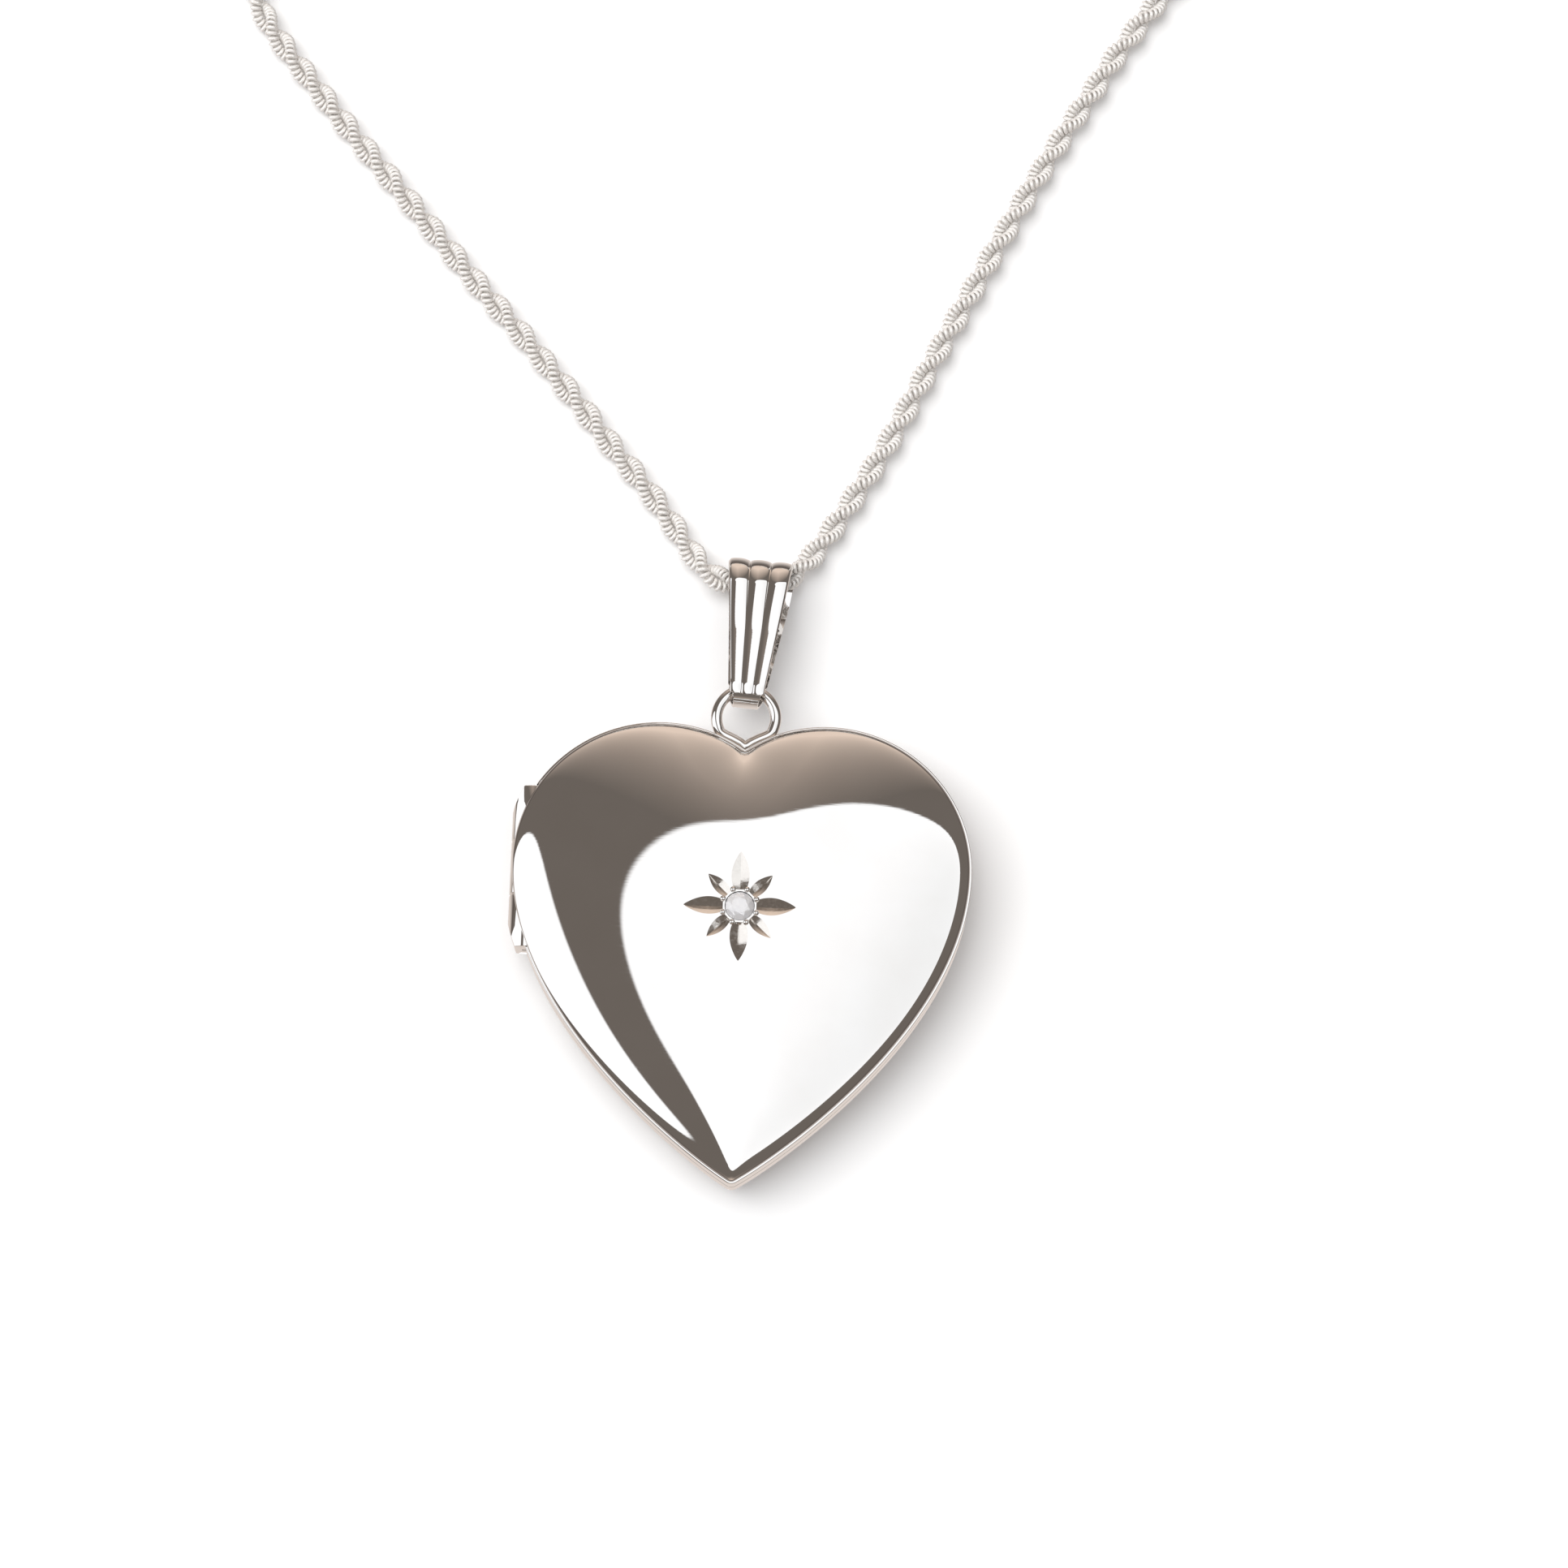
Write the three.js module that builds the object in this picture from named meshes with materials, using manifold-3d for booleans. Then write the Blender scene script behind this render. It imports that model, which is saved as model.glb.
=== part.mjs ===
// A puffed heart locket on a rope chain, in millimetres. It lies on its back cover: +Z is the front,
// +Y points to the bail, and the origin is on the back cover's flat, under the middle of the heart.
import * as THREE from "three";
import { mergeVertices } from "three/addons/utils/BufferGeometryUtils.js";
import Module from "manifold-3d";

const wasm = await Module();
wasm.setup();

// ---- Driving dimensions -------------------------------------------------------------------------

// Clearances
const solderGap = 0.02; // between pieces that are soldered or pressed together
const seamGap = 0.03; // between the two closed halves
const runningGap = 0.04; // round a piece that turns or slides
const floorGap = 0.02; // under what lies on the table beside the locket
const cordGap = 0.3; // between the chain's stretches and what they meet

// Heart outline: a round lobe and a nearly straight lower side, mirrored
const heartHalfWidth = 10.02;
const lobeOverlap = 2.78; // how far each lobe's circle reaches past the middle line
const lobeCentreY = 3.72;
const tipY = -10.2;
const tipRadius = 0.4;
const tipHalfAngle = THREE.MathUtils.degToRad(59.5);
const sideHandle = 6.9; // how far the side runs straight down from the widest point
const tipHandle = 1.87; // how far the side runs straight up from the tip

// Covers and rims
const rimHeight = 0.85;
const rimWall = 0.6;
const lipWall = 0.2;
const lipClearance = 0.05;
const lipHeight = 0.2; // how far the back rim's lip stands into the front half
const ledgeWall = 0.12;
const ledgeReach = 1.25; // from the outline to the ledge's inner edge
const coverInset = 0.08; // from the outline to the foot of a cover
const coverWall = 0.3;
const domeRise = 1.5;
const crownY = 1.6; // where both covers are highest
const crownInset = 1.02; // from the widest point of the outline to the oval that the crown starts from
const crownHalfLength = 8.6;
const crownPower = 2.4;
const edgePower = 0.56;
const flatShare = 0.28; // part of the way to the edge that is flat on the back cover
const notchLength = 0.75; // thumbnail notch in the front rim
const notchDepth = 0.22;
const notchHeight = 0.3;
const notchY = 3.1;

// Pictures
const cardThickness = 0.1;
const windowThickness = 0.12;
const frameThickness = 0.2;
const frameWidth = 0.7;

// Hinge
const hingeInset = 0.8; // from the widest point of the outline to the pin
const hingeLength = 7.2;
const hingeY = 3.5;
const knuckleStandOut = 0.42; // how far the knuckles are left proud of the outline
const pinRadius = 0.15;
const boreGap = 0.02;

// Star setting
const starY = 1.6;
const stoneRadius = 0.625;
const stoneTableShare = 0.56;
const stoneCrown = 0.2;
const stoneGirdle = 0.04;
const stonePavilion = 0.52;
const stoneSink = 0.05; // how far the girdle's top lies below the crown of the cover
const beadRadius = 0.13;
const beadCount = 8;
const petalCount = 8;
const petalStart = 0.78;
const longPetalEnd = 2.45;
const shortPetalEnd = 1.8;
const longPetalWidth = 0.78;
const shortPetalWidth = 0.56;
const petalDepth = 0.16;

// Hanging ring and bail
const ringWireRadius = 0.25;
const ringRadius = 1.3;
const ringDrop = 1.304; // from the ring's centre down to its wire in the cleft
const bailWall = 0.25;
const bailFootRadius = 0.55; // inside, round the ring's wire
const chainPlay = 0.62; // room round the chain inside the bail
const chainPull = 0.5; // how far the arms draw the chain past the middle of that room
const bailLength = 4.85; // between the two folds' centres
const bailHeadHalfWidth = 1.45;
const bailFootHalfWidth = 0.65;

// Chain, its coils and its fittings
const chainRadius = 0.6;
const cordSides = 8;
const coilCentreY = 57.5;
const coilLeftX = -13.0;
const coilRadius = 6.5; // to the middle of the turns
const coilTurnsWide = 3;
const tailLength = 6.3; // from the middle of a coil to its end cap
const tailGap = 0.1; // between a coil and the last stretch beside it
const capLength = 1.9;
const capWall = 0.1;
const capBoreDepth = 1.2;
const eyeRadius = 0.4;
const eyeWireRadius = 0.14;
const linkRadius = 0.75; // jump ring that lies flat
const linkWireRadius = 0.13;
const claspRadius = 2.2;
const claspTubeRadius = 0.55;
const claspBoreRadius = 0.33;
const claspWireRadius = 0.27;
const claspMouth = THREE.MathUtils.degToRad(28); // half of the opening
const triggerOverlap = THREE.MathUtils.degToRad(6); // how far the closed trigger enters the far side
const triggerReach = THREE.MathUtils.degToRad(80); // where the trigger's tail ends
const triggerTravel = THREE.MathUtils.degToRad(62);
const knobAngle = THREE.MathUtils.degToRad(44);
const knobRadius = 0.14;
const knobStandOut = 0.4;
const springSpan = THREE.MathUtils.degToRad(22); // the spring when it is pressed short

// Routes of the two arms of the chain, from the bail to the coils
const leftRoute = [
  [-1.9, 17.62, 1.14],
  [-2.6, 18.6, 0.78],
  [-3.4, 19.8, 0.62],
  [-4.8, 21.7, 0.62],
  [-6.3, 23.5, 0.62],
  [-7.8, 25.4, 0.62],
  [-9.4, 27.3, 0.62],
  [-11.0, 29.2, 0.62],
  [-12.7, 31.1, 0.62],
  [-14.3, 33.0, 0.62],
  [-15.9, 34.9, 0.62],
  [-17.5, 36.8, 0.62],
  [-19.2, 38.8, 0.62],
  [-20.8, 40.8, 0.62],
  [-22.4, 42.8, 0.62],
  [-23.7, 44.9, 0.62],
  [-24.2, 47.2, 0.62],
  [-23.8, 49.5, 0.62],
  [-22.7, 51.6, 0.62],
  [-21.5, 53.7, 0.62],
];
const rightRoute = [
  [1.9, 17.62, 1.14],
  [2.6, 18.6, 0.78],
  [3.4, 19.8, 0.62],
  [4.5, 21.6, 0.62],
  [5.7, 23.7, 0.62],
  [6.8, 25.9, 0.62],
  [7.8, 28.0, 0.62],
  [8.9, 30.2, 0.62],
  [10.0, 32.4, 0.62],
  [11.1, 34.6, 0.62],
  [12.3, 36.9, 0.62],
  [13.5, 39.1, 0.62],
  [14.8, 41.3, 0.62],
  [16.1, 43.5, 0.62],
  [17.5, 45.6, 0.62],
  [18.9, 47.6, 0.62],
  [20.3, 49.4, 0.62],
  [21.1, 51.3, 0.62],
  [20.9, 53.3, 0.62],
];

// The last stretch of each arm, from outside its coil into its end cap
const leftTail = [
  [-16.1, 65.9, 0.62],
  [-14.6, 66.34, 0.62],
  [-13.0, 66.5, 0.62],
  [-11.4, 66.5, 0.62],
  [-9.8, 66.5, 0.65],
  [-8.3, 66.5, 0.71],
  [-6.9, 66.5, 0.76],
  [-5.8, 66.5, 0.76],
];
const rightTail = [
  [14.9, 65.9, 0.62],
  [13.4, 66.34, 0.62],
  [11.8, 66.5, 0.62],
  [10.2, 66.5, 0.62],
  [8.6, 66.5, 0.65],
  [7.1, 66.5, 0.71],
  [5.7, 66.5, 0.76],
  [4.6, 66.5, 0.76],
];

// ---- Values that follow -------------------------------------------------------------------------

const seamZ = rimHeight + solderGap + domeRise;
const lobeRadius = (heartHalfWidth + lobeOverlap) / 2;
const lobeCentreX = heartHalfWidth - lobeRadius;
const crownHalfWidth = heartHalfWidth - crownInset;
const hingeX = -(heartHalfWidth - hingeInset);
const knuckleRadius = rimHeight + solderGap - runningGap;
const notchInnerX = hingeX + knuckleRadius + runningGap;
const lipOuter = rimWall + lipClearance;
const lipInner = lipOuter + lipWall;
const frontFrameInset = rimWall + runningGap;
const backFrameInset = lipInner + runningGap;
const cardTop = rimHeight - ledgeWall - solderGap;
const windowTop = cardTop - cardThickness - solderGap;
const frameTop = windowTop - windowThickness - solderGap;
const ringZ = seamZ;
const ringNest = lobeRadius + ringWireRadius + 2 * solderGap; // the lobe's circle that the wire lies on
const ringCentreY = lobeCentreY + Math.sqrt(ringNest ** 2 - lobeCentreX ** 2) + ringDrop;
const ringTopY = ringCentreY + ringRadius;
const bailHeadRadius = chainRadius + chainPlay;
const bailHeadZ = bailHeadRadius + bailWall + floorGap;
const bailTilt = Math.asin((bailHeadZ - ringZ) / bailLength);
const coilHalfWidth = coilTurnsWide * chainRadius;
const coilHeight = (2 + Math.sqrt(3)) * chainRadius; // two layers, the upper one in the lower one's grooves
const capBore = chainRadius + runningGap;
const capRadius = capBore + capWall;
const fittingZ = capRadius + floorGap; // height of the middle of everything between the coils
const coilOutside = coilRadius + coilHalfWidth;
const fasteningY = coilCentreY + coilOutside + chainRadius + tailGap;
const leftCapX = coilLeftX + tailLength;
const leftLinkX = leftCapX + capLength + eyeRadius + linkRadius;
const claspX = leftLinkX + linkRadius + eyeRadius + claspTubeRadius + claspRadius;
const rightEyeX = claspX + claspRadius + claspWireRadius + runningGap + eyeRadius + eyeWireRadius;
const catchRingX = rightEyeX - linkRadius;
const rightCapX = rightEyeX + eyeRadius + capLength;
const coilRightX = rightCapX + tailLength;
const FRONT = 1;
const BACK = -1;

// ---- Materials ----------------------------------------------------------------------------------

const polishedGold = new THREE.MeshStandardMaterial({ color: 0xcfc8c0, roughness: 0.08, metalness: 1 });
const chainGold = new THREE.MeshStandardMaterial({ color: 0xcac4bb, roughness: 0.25, metalness: 1 });
const steel = new THREE.MeshStandardMaterial({ color: 0x9a9a9a, roughness: 0.35, metalness: 1 });
const stone = new THREE.MeshStandardMaterial({ color: 0xffffff, roughness: 0.0, metalness: 0 });
const acetate = new THREE.MeshStandardMaterial({ color: 0xeef2f2, roughness: 0.1, metalness: 0 });
const paper = new THREE.MeshStandardMaterial({ color: 0xefe9dc, roughness: 0.9, metalness: 0 });

// ---- Helpers ------------------------------------------------------------------------------------

// A closed geometry as a solid that can be joined and cut.
function solid(geometry) {
  const bare = geometry.clone();
  bare.deleteAttribute("normal");
  bare.deleteAttribute("uv");
  const merged = mergeVertices(bare, 1e-5);
  return new wasm.Manifold(
    new wasm.Mesh({
      numProp: 3,
      vertProperties: new Float32Array(merged.attributes.position.array),
      triVerts: new Uint32Array(merged.index.array),
    }),
  );
}

// A solid back as a geometry.
function geometryOf(body) {
  const mesh = body.getMesh();
  const geometry = new THREE.BufferGeometry();
  geometry.setAttribute("position", new THREE.BufferAttribute(mesh.vertProperties, 3));
  geometry.setIndex(new THREE.BufferAttribute(mesh.triVerts, 1));
  geometry.computeVertexNormals();
  return geometry;
}

function piece(name, shape, material) {
  const geometry = shape.isBufferGeometry ? shape : geometryOf(shape);
  const mesh = new THREE.Mesh(geometry, material);
  mesh.name = name;
  return mesh;
}

// A closed skin over a list of rings of points, each with as many points, with a point at each end.
function loft(firstPoint, rings, lastPoint) {
  const count = rings[0].length;
  const positions = [];
  const faces = [];
  positions.push(...firstPoint.toArray());
  rings.forEach((ring) => ring.forEach((p) => positions.push(...p.toArray())));
  positions.push(...lastPoint.toArray());
  const at = (ring, k) => 1 + ring * count + (k % count);
  for (let k = 0; k < count; k++) {
    faces.push(0, at(0, k), at(0, k + 1));
    for (let ring = 0; ring + 1 < rings.length; ring++) {
      faces.push(at(ring, k), at(ring + 1, k), at(ring + 1, k + 1));
      faces.push(at(ring, k), at(ring + 1, k + 1), at(ring, k + 1));
    }
    faces.push(at(rings.length - 1, k), 1 + rings.length * count, at(rings.length - 1, k + 1));
  }
  const geometry = new THREE.BufferGeometry();
  geometry.setAttribute("position", new THREE.Float32BufferAttribute(positions, 3));
  geometry.setIndex(faces);
  return geometry;
}

// A tube along a smooth route, with flat ends.
function cord(route, radius, sides, steps) {
  const section = new THREE.Shape();
  for (let k = 0; k < sides; k++) {
    const angle = ((k + 0.5) / sides) * 2 * Math.PI;
    const x = radius * Math.cos(angle);
    const y = radius * Math.sin(angle);
    if (k === 0) section.moveTo(x, y);
    else section.lineTo(x, y);
  }
  const path = new THREE.CatmullRomCurve3(route.map((p) => new THREE.Vector3(...p)));
  return new THREE.ExtrudeGeometry(section, { steps, extrudePath: path, bevelEnabled: false });
}

// A flat plate between two heights.
function plate(shape, low, high) {
  const geometry = new THREE.ExtrudeGeometry(shape, { depth: high - low, steps: 1, bevelEnabled: false });
  return geometry.translate(0, 0, low);
}

// ---- Heart outline ------------------------------------------------------------------------------

// The outline, moved in by a distance (or out, where it is negative), as points round the heart.
function heartOutline(inset) {
  const lobeSteps = 14;
  const sideSteps = 12;
  const tipSteps = 2;
  const half = [];
  const radius = lobeRadius - inset;
  const start = Math.acos(-lobeCentreX / radius);
  for (let k = 0; k < lobeSteps; k++) {
    const angle = start * (1 - k / lobeSteps);
    half.push([lobeCentreX + radius * Math.cos(angle), lobeCentreY + radius * Math.sin(angle)]);
  }
  const tipCentreY = tipY + tipRadius;
  const touchX = tipRadius * Math.cos(tipHalfAngle);
  const touchY = tipCentreY - tipRadius * Math.sin(tipHalfAngle);
  const side = new THREE.CubicBezierCurve(
    new THREE.Vector2(heartHalfWidth, lobeCentreY),
    new THREE.Vector2(heartHalfWidth, lobeCentreY - sideHandle),
    new THREE.Vector2(
      touchX + tipHandle * Math.sin(tipHalfAngle),
      touchY + tipHandle * Math.cos(tipHalfAngle),
    ),
    new THREE.Vector2(touchX, touchY),
  );
  for (let k = 0; k <= sideSteps; k++) {
    const point = side.getPoint(k / sideSteps);
    const along = side.getTangent(k / sideSteps);
    half.push([point.x + along.y * inset, point.y - along.x * inset]);
  }
  for (let k = 1; k <= tipSteps; k++) {
    const angle = -tipHalfAngle - (k / tipSteps) * (Math.PI / 2 - tipHalfAngle);
    const reach = tipRadius - inset;
    half.push([reach * Math.cos(angle), tipCentreY + reach * Math.sin(angle)]);
  }
  return mirrored(closedOnAxis(half));
}

// Half an outline, ended where it first comes to the middle line.
function closedOnAxis(half) {
  const kept = [[0, half[0][1]]];
  for (let k = 1; k < half.length; k++) {
    const [x, y] = half[k];
    const [lastX, lastY] = half[k - 1];
    if (x < 1e-6) {
      const share = lastX / (lastX - x);
      kept.push([0, lastY + share * (y - lastY)]);
      return kept;
    }
    kept.push([x, y]);
  }
  return kept;
}

// The whole outline, anticlockwise from the tip.
function mirrored(half) {
  const right = [...half].reverse();
  const left = half.slice(1, -1).map(([x, y]) => [-x, y]);
  return [...right, ...left].map(([x, y]) => new THREE.Vector2(x, y));
}

// How far an outline reaches from the crown in one direction.
function reachOf(outline, direction) {
  const crown = new THREE.Vector2(0, crownY);
  for (let k = 0; k < outline.length; k++) {
    const a = outline[k].clone().sub(crown);
    const b = outline[(k + 1) % outline.length].clone().sub(crown);
    const edge = b.clone().sub(a);
    const across = direction.cross(edge);
    const share = -direction.cross(a) / across;
    const reach = a.cross(edge) / across;
    if (reach > 0 && share >= -1e-9 && share <= 1 + 1e-9) return reach;
  }
  throw new Error("the crown lies outside the outline");
}

function heartPlate(inset, low, high) {
  return solid(plate(new THREE.Shape(heartOutline(inset)), low, high));
}

function heartRing(outerInset, innerInset, low, high) {
  const shape = new THREE.Shape(heartOutline(outerInset));
  shape.holes.push(new THREE.Path(heartOutline(innerInset).reverse()));
  return solid(plate(shape, low, high));
}

// The two heights of a layer of one half, given as distances from the seam.
function layer(side, near, far) {
  return side === FRONT ? [seamZ + near, seamZ + far] : [seamZ - far, seamZ - near];
}

// ---- Covers -------------------------------------------------------------------------------------

// How high a cover stands, from 1 at its crown to 0 at its foot.
function domeShare(share, flat) {
  const past = Math.max(0, (share - flat) / (1 - flat));
  return (1 - past ** crownPower) ** edgePower;
}

// A ring of points on a dome: an oval near the crown that turns into the heart at the foot.
function domeRing(outline, directions, share, height) {
  const heartness = share * share * (3 - 2 * share);
  return directions.map((direction) => {
    const heart = reachOf(outline, direction);
    const oval = 1 / Math.hypot(direction.x / crownHalfWidth, direction.y / crownHalfLength);
    const reach = share * (heart * heartness + oval * (1 - heartness));
    return new THREE.Vector3(direction.x * reach, crownY + direction.y * reach, height);
  });
}

function domeRings(outline, directions, rise, flat, shares) {
  return shares.map((share) => domeRing(outline, directions, share, rise * domeShare(share, flat)));
}

function cover(side) {
  const flat = side === FRONT ? 0 : flatShare;
  const outer = heartOutline(coverInset);
  const inner = heartOutline(coverInset + coverWall);
  const directions = outer.map((p) => new THREE.Vector2(p.x, p.y - crownY).normalize());
  const innerRise = domeRise - coverWall;
  const outerShares = [flatShare, 0.46, 0.62, 0.75, 0.86, 0.93, 0.975, 1];
  const innerShares = [1, 0.96, 0.86, 0.68, flatShare];
  const skin = loft(
    new THREE.Vector3(0, crownY, domeRise),
    [
      ...domeRings(outer, directions, domeRise, flat, outerShares),
      ...domeRings(inner, directions, innerRise, flat, innerShares),
    ],
    new THREE.Vector3(0, crownY, innerRise),
  );
  if (side === BACK) skin.rotateY(Math.PI);
  return skin.translate(0, 0, seamZ + side * (rimHeight + solderGap));
}

// ---- Star setting -------------------------------------------------------------------------------

const crownTopZ = seamZ + rimHeight + solderGap + domeRise;
const girdleTopZ = crownTopZ - stoneSink;

function roundStone() {
  const table = stoneRadius * stoneTableShare;
  const profile = [
    [0, -stoneGirdle - stonePavilion],
    [stoneRadius, -stoneGirdle],
    [stoneRadius, 0],
    [table, stoneCrown],
    [0, stoneCrown],
  ];
  const facets = 16;
  const points = profile.map(([x, y]) => new THREE.Vector2(x, y));
  return new THREE.LatheGeometry(points, facets).rotateX(Math.PI / 2).translate(0, starY, girdleTopZ);
}

// The seat: a bore for the girdle, a cone under it and a light hole.
function stoneSeat() {
  const lightHole = stoneRadius * 0.5;
  const depth = coverWall + stoneSink;
  const profile = [
    [0, -depth - stonePavilion],
    [lightHole, -depth - stonePavilion],
    [lightHole, -(stoneGirdle + stonePavilion / 2) - solderGap],
    [stoneRadius + solderGap, -stoneGirdle - solderGap],
    [stoneRadius + solderGap, stoneCrown + stoneSink],
    [0, stoneCrown + stoneSink],
  ];
  const points = profile.map(([x, y]) => new THREE.Vector2(x, y));
  const round = new THREE.LatheGeometry(points, 32).rotateX(Math.PI / 2);
  return solid(round.translate(0, starY, girdleTopZ));
}

// A leaf-shaped cut that points away from the stone.
function petalCut(index) {
  const long = index % 2 === 0;
  const end = long ? longPetalEnd : shortPetalEnd;
  const width = long ? longPetalWidth : shortPetalWidth;
  const leaf = new THREE.OctahedronGeometry(1);
  leaf.scale((end - petalStart) / 2, width / 2, petalDepth);
  leaf.translate((end + petalStart) / 2, 0, 0);
  leaf.rotateZ((index / petalCount) * 2 * Math.PI);
  return solid(leaf.translate(0, starY, crownTopZ));
}

function bead(index) {
  const angle = ((index + 0.5) / beadCount) * 2 * Math.PI;
  const reach = stoneRadius + solderGap + beadRadius;
  const ball = new THREE.SphereGeometry(beadRadius, 8, 6);
  const x = reach * Math.cos(angle);
  const y = starY + reach * Math.sin(angle);
  return solid(ball.translate(x, y, crownTopZ));
}

function frontCover() {
  let body = solid(cover(FRONT));
  for (let k = 0; k < petalCount; k++) body = body.subtract(petalCut(k));
  for (let k = 0; k < beadCount; k++) body = body.add(bead(k));
  return body.subtract(stoneSeat());
}

// ---- Rims and pictures --------------------------------------------------------------------------

// The room that the hinge takes out of both halves.
function hingeRoom() {
  const width = heartHalfWidth;
  const length = hingeLength + 2 * runningGap;
  const box = new THREE.BoxGeometry(width, length, 2 * (rimHeight + solderGap));
  return solid(box.translate(notchInnerX - width / 2, hingeY, seamZ));
}

function thumbNotch() {
  const lens = new THREE.SphereGeometry(1, 12, 8);
  lens.scale(notchDepth, notchLength / 2, notchHeight / 2);
  return solid(lens.translate(heartHalfWidth, notchY, seamZ + rimHeight / 2));
}

function frontRim() {
  const band = heartRing(0, rimWall, ...layer(FRONT, seamGap / 2, rimHeight));
  const ledge = heartRing(rimWall / 2, ledgeReach, ...layer(FRONT, rimHeight - ledgeWall, rimHeight));
  return band.add(ledge).subtract(hingeRoom()).subtract(thumbNotch());
}

function backRim() {
  const band = heartRing(0, lipInner, ...layer(BACK, seamGap / 2, rimHeight));
  const lip = heartRing(lipOuter, lipInner, seamZ - rimHeight / 2, seamZ + lipHeight);
  const ledge = heartRing(rimWall, ledgeReach, ...layer(BACK, rimHeight - ledgeWall, rimHeight));
  return band.add(lip).add(ledge).subtract(hingeRoom());
}

function photoFrame(side) {
  const inset = side === FRONT ? frontFrameInset : backFrameInset;
  const ring = heartRing(inset, inset + frameWidth, ...layer(side, frameTop - frameThickness, frameTop));
  return ring.subtract(hingeRoom());
}

function photoWindow(side) {
  const inset = side === FRONT ? frontFrameInset : backFrameInset;
  const sheet = heartPlate(inset, ...layer(side, windowTop - windowThickness, windowTop));
  return sheet.subtract(hingeRoom());
}

function photoCard(side) {
  const inset = side === FRONT ? frontFrameInset : backFrameInset;
  const sheet = heartPlate(inset, ...layer(side, cardTop - cardThickness, cardTop));
  return sheet.subtract(hingeRoom());
}

// ---- Hinge --------------------------------------------------------------------------------------

const knuckleCount = 3;
const knuckleLength = (hingeLength - (knuckleCount - 1) * runningGap) / knuckleCount;

// A knuckle: a bored rod, filed back on the outside to follow the heart. Index 0 is the lowest.
function knuckle(index) {
  const y = hingeY + (index - 1) * (knuckleLength + runningGap);
  const place = (geometry) => solid(geometry.translate(hingeX, y, seamZ));
  const rod = place(new THREE.CylinderGeometry(knuckleRadius, knuckleRadius, knuckleLength, 28));
  const bore = pinRadius + boreGap;
  const hole = place(new THREE.CylinderGeometry(bore, bore, 2 * knuckleLength, 12));
  const filed = heartPlate(-knuckleStandOut, 0, 2 * seamZ);
  return rod.intersect(filed).subtract(hole);
}

function hingePin() {
  const pin = new THREE.CylinderGeometry(pinRadius, pinRadius, hingeLength, 12);
  return pin.translate(hingeX, hingeY, seamZ);
}

// ---- Hanging ring and bail ----------------------------------------------------------------------

// The ring's wire: round above, and drawn to a blunt point below that follows the cleft.
function hangingRing() {
  const cleftPoint = (x) => {
    const up = Math.sqrt(ringNest ** 2 - (Math.abs(x) - lobeCentreX) ** 2);
    return new THREE.Vector3(x, lobeCentreY + up, 0);
  };
  const shoulder = THREE.MathUtils.degToRad(-32);
  const steps = 14;
  const points = [cleftPoint(-ringRadius * 0.4), cleftPoint(0), cleftPoint(ringRadius * 0.4)];
  for (let k = 0; k <= steps; k++) {
    const angle = shoulder + (k / steps) * (Math.PI - 2 * shoulder);
    points.push(new THREE.Vector3(ringRadius * Math.cos(angle), ringCentreY + ringRadius * Math.sin(angle), 0));
  }
  const path = new THREE.CatmullRomCurve3(points, true);
  return new THREE.TubeGeometry(path, 30, ringWireRadius, 8, true).translate(0, 0, ringZ);
}

// The side view of a strip folded round the ring's wire and round the chain.
function beltOutline(foot, head) {
  const lean = Math.asin((head - foot) / bailLength);
  const footSteps = 8;
  const headSteps = 14;
  const points = [];
  for (let k = 0; k <= footSteps; k++) {
    const angle = Math.PI / 2 + lean + (k / footSteps) * (Math.PI - 2 * lean);
    points.push(new THREE.Vector2(foot * Math.cos(angle), foot * Math.sin(angle)));
  }
  for (let k = 0; k <= headSteps; k++) {
    const angle = -Math.PI / 2 - lean + (k / headSteps) * (Math.PI + 2 * lean);
    points.push(new THREE.Vector2(bailLength + head * Math.cos(angle), head * Math.sin(angle)));
  }
  return points;
}

function bail() {
  const shape = new THREE.Shape(beltOutline(bailFootRadius + bailWall, bailHeadRadius + bailWall));
  shape.holes.push(new THREE.Path(beltOutline(bailFootRadius, bailHeadRadius).reverse()));
  const strip = plate(shape, -bailHeadHalfWidth, bailHeadHalfWidth);
  const turned = new THREE.Matrix4().makeBasis(
    new THREE.Vector3(0, 1, 0),
    new THREE.Vector3(0, 0, 1),
    new THREE.Vector3(1, 0, 0),
  );
  const low = -bailFootRadius - bailWall;
  const high = bailLength + bailHeadRadius + bailWall;
  const taper = new THREE.Shape([
    new THREE.Vector2(-bailFootHalfWidth, low),
    new THREE.Vector2(bailFootHalfWidth, low),
    new THREE.Vector2(bailHeadHalfWidth, high),
    new THREE.Vector2(-bailHeadHalfWidth, high),
  ]);
  const depth = 2 * (bailHeadRadius + bailWall);
  return solid(strip.applyMatrix4(turned)).intersect(solid(plate(taper, -depth, depth)));
}

// ---- Chain --------------------------------------------------------------------------------------

function chainArm(route) {
  const steps = route.length - 1;
  return cord(route, chainRadius, cordSides, steps);
}

// The stretch of chain inside the bail.
function chainSaddle() {
  const half = bailHeadHalfWidth + chainRadius / 4;
  const z = (leftRoute[0][2] + rightRoute[0][2]) / 2;
  const y = ringTopY + bailLength * Math.cos(bailTilt) + chainPull;
  const rod = new THREE.CylinderGeometry(chainRadius, chainRadius, 2 * half - cordGap, cordSides);
  return rod.rotateY(Math.PI / cordSides).rotateZ(Math.PI / 2).translate(0, y, z + runningGap);
}

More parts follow.
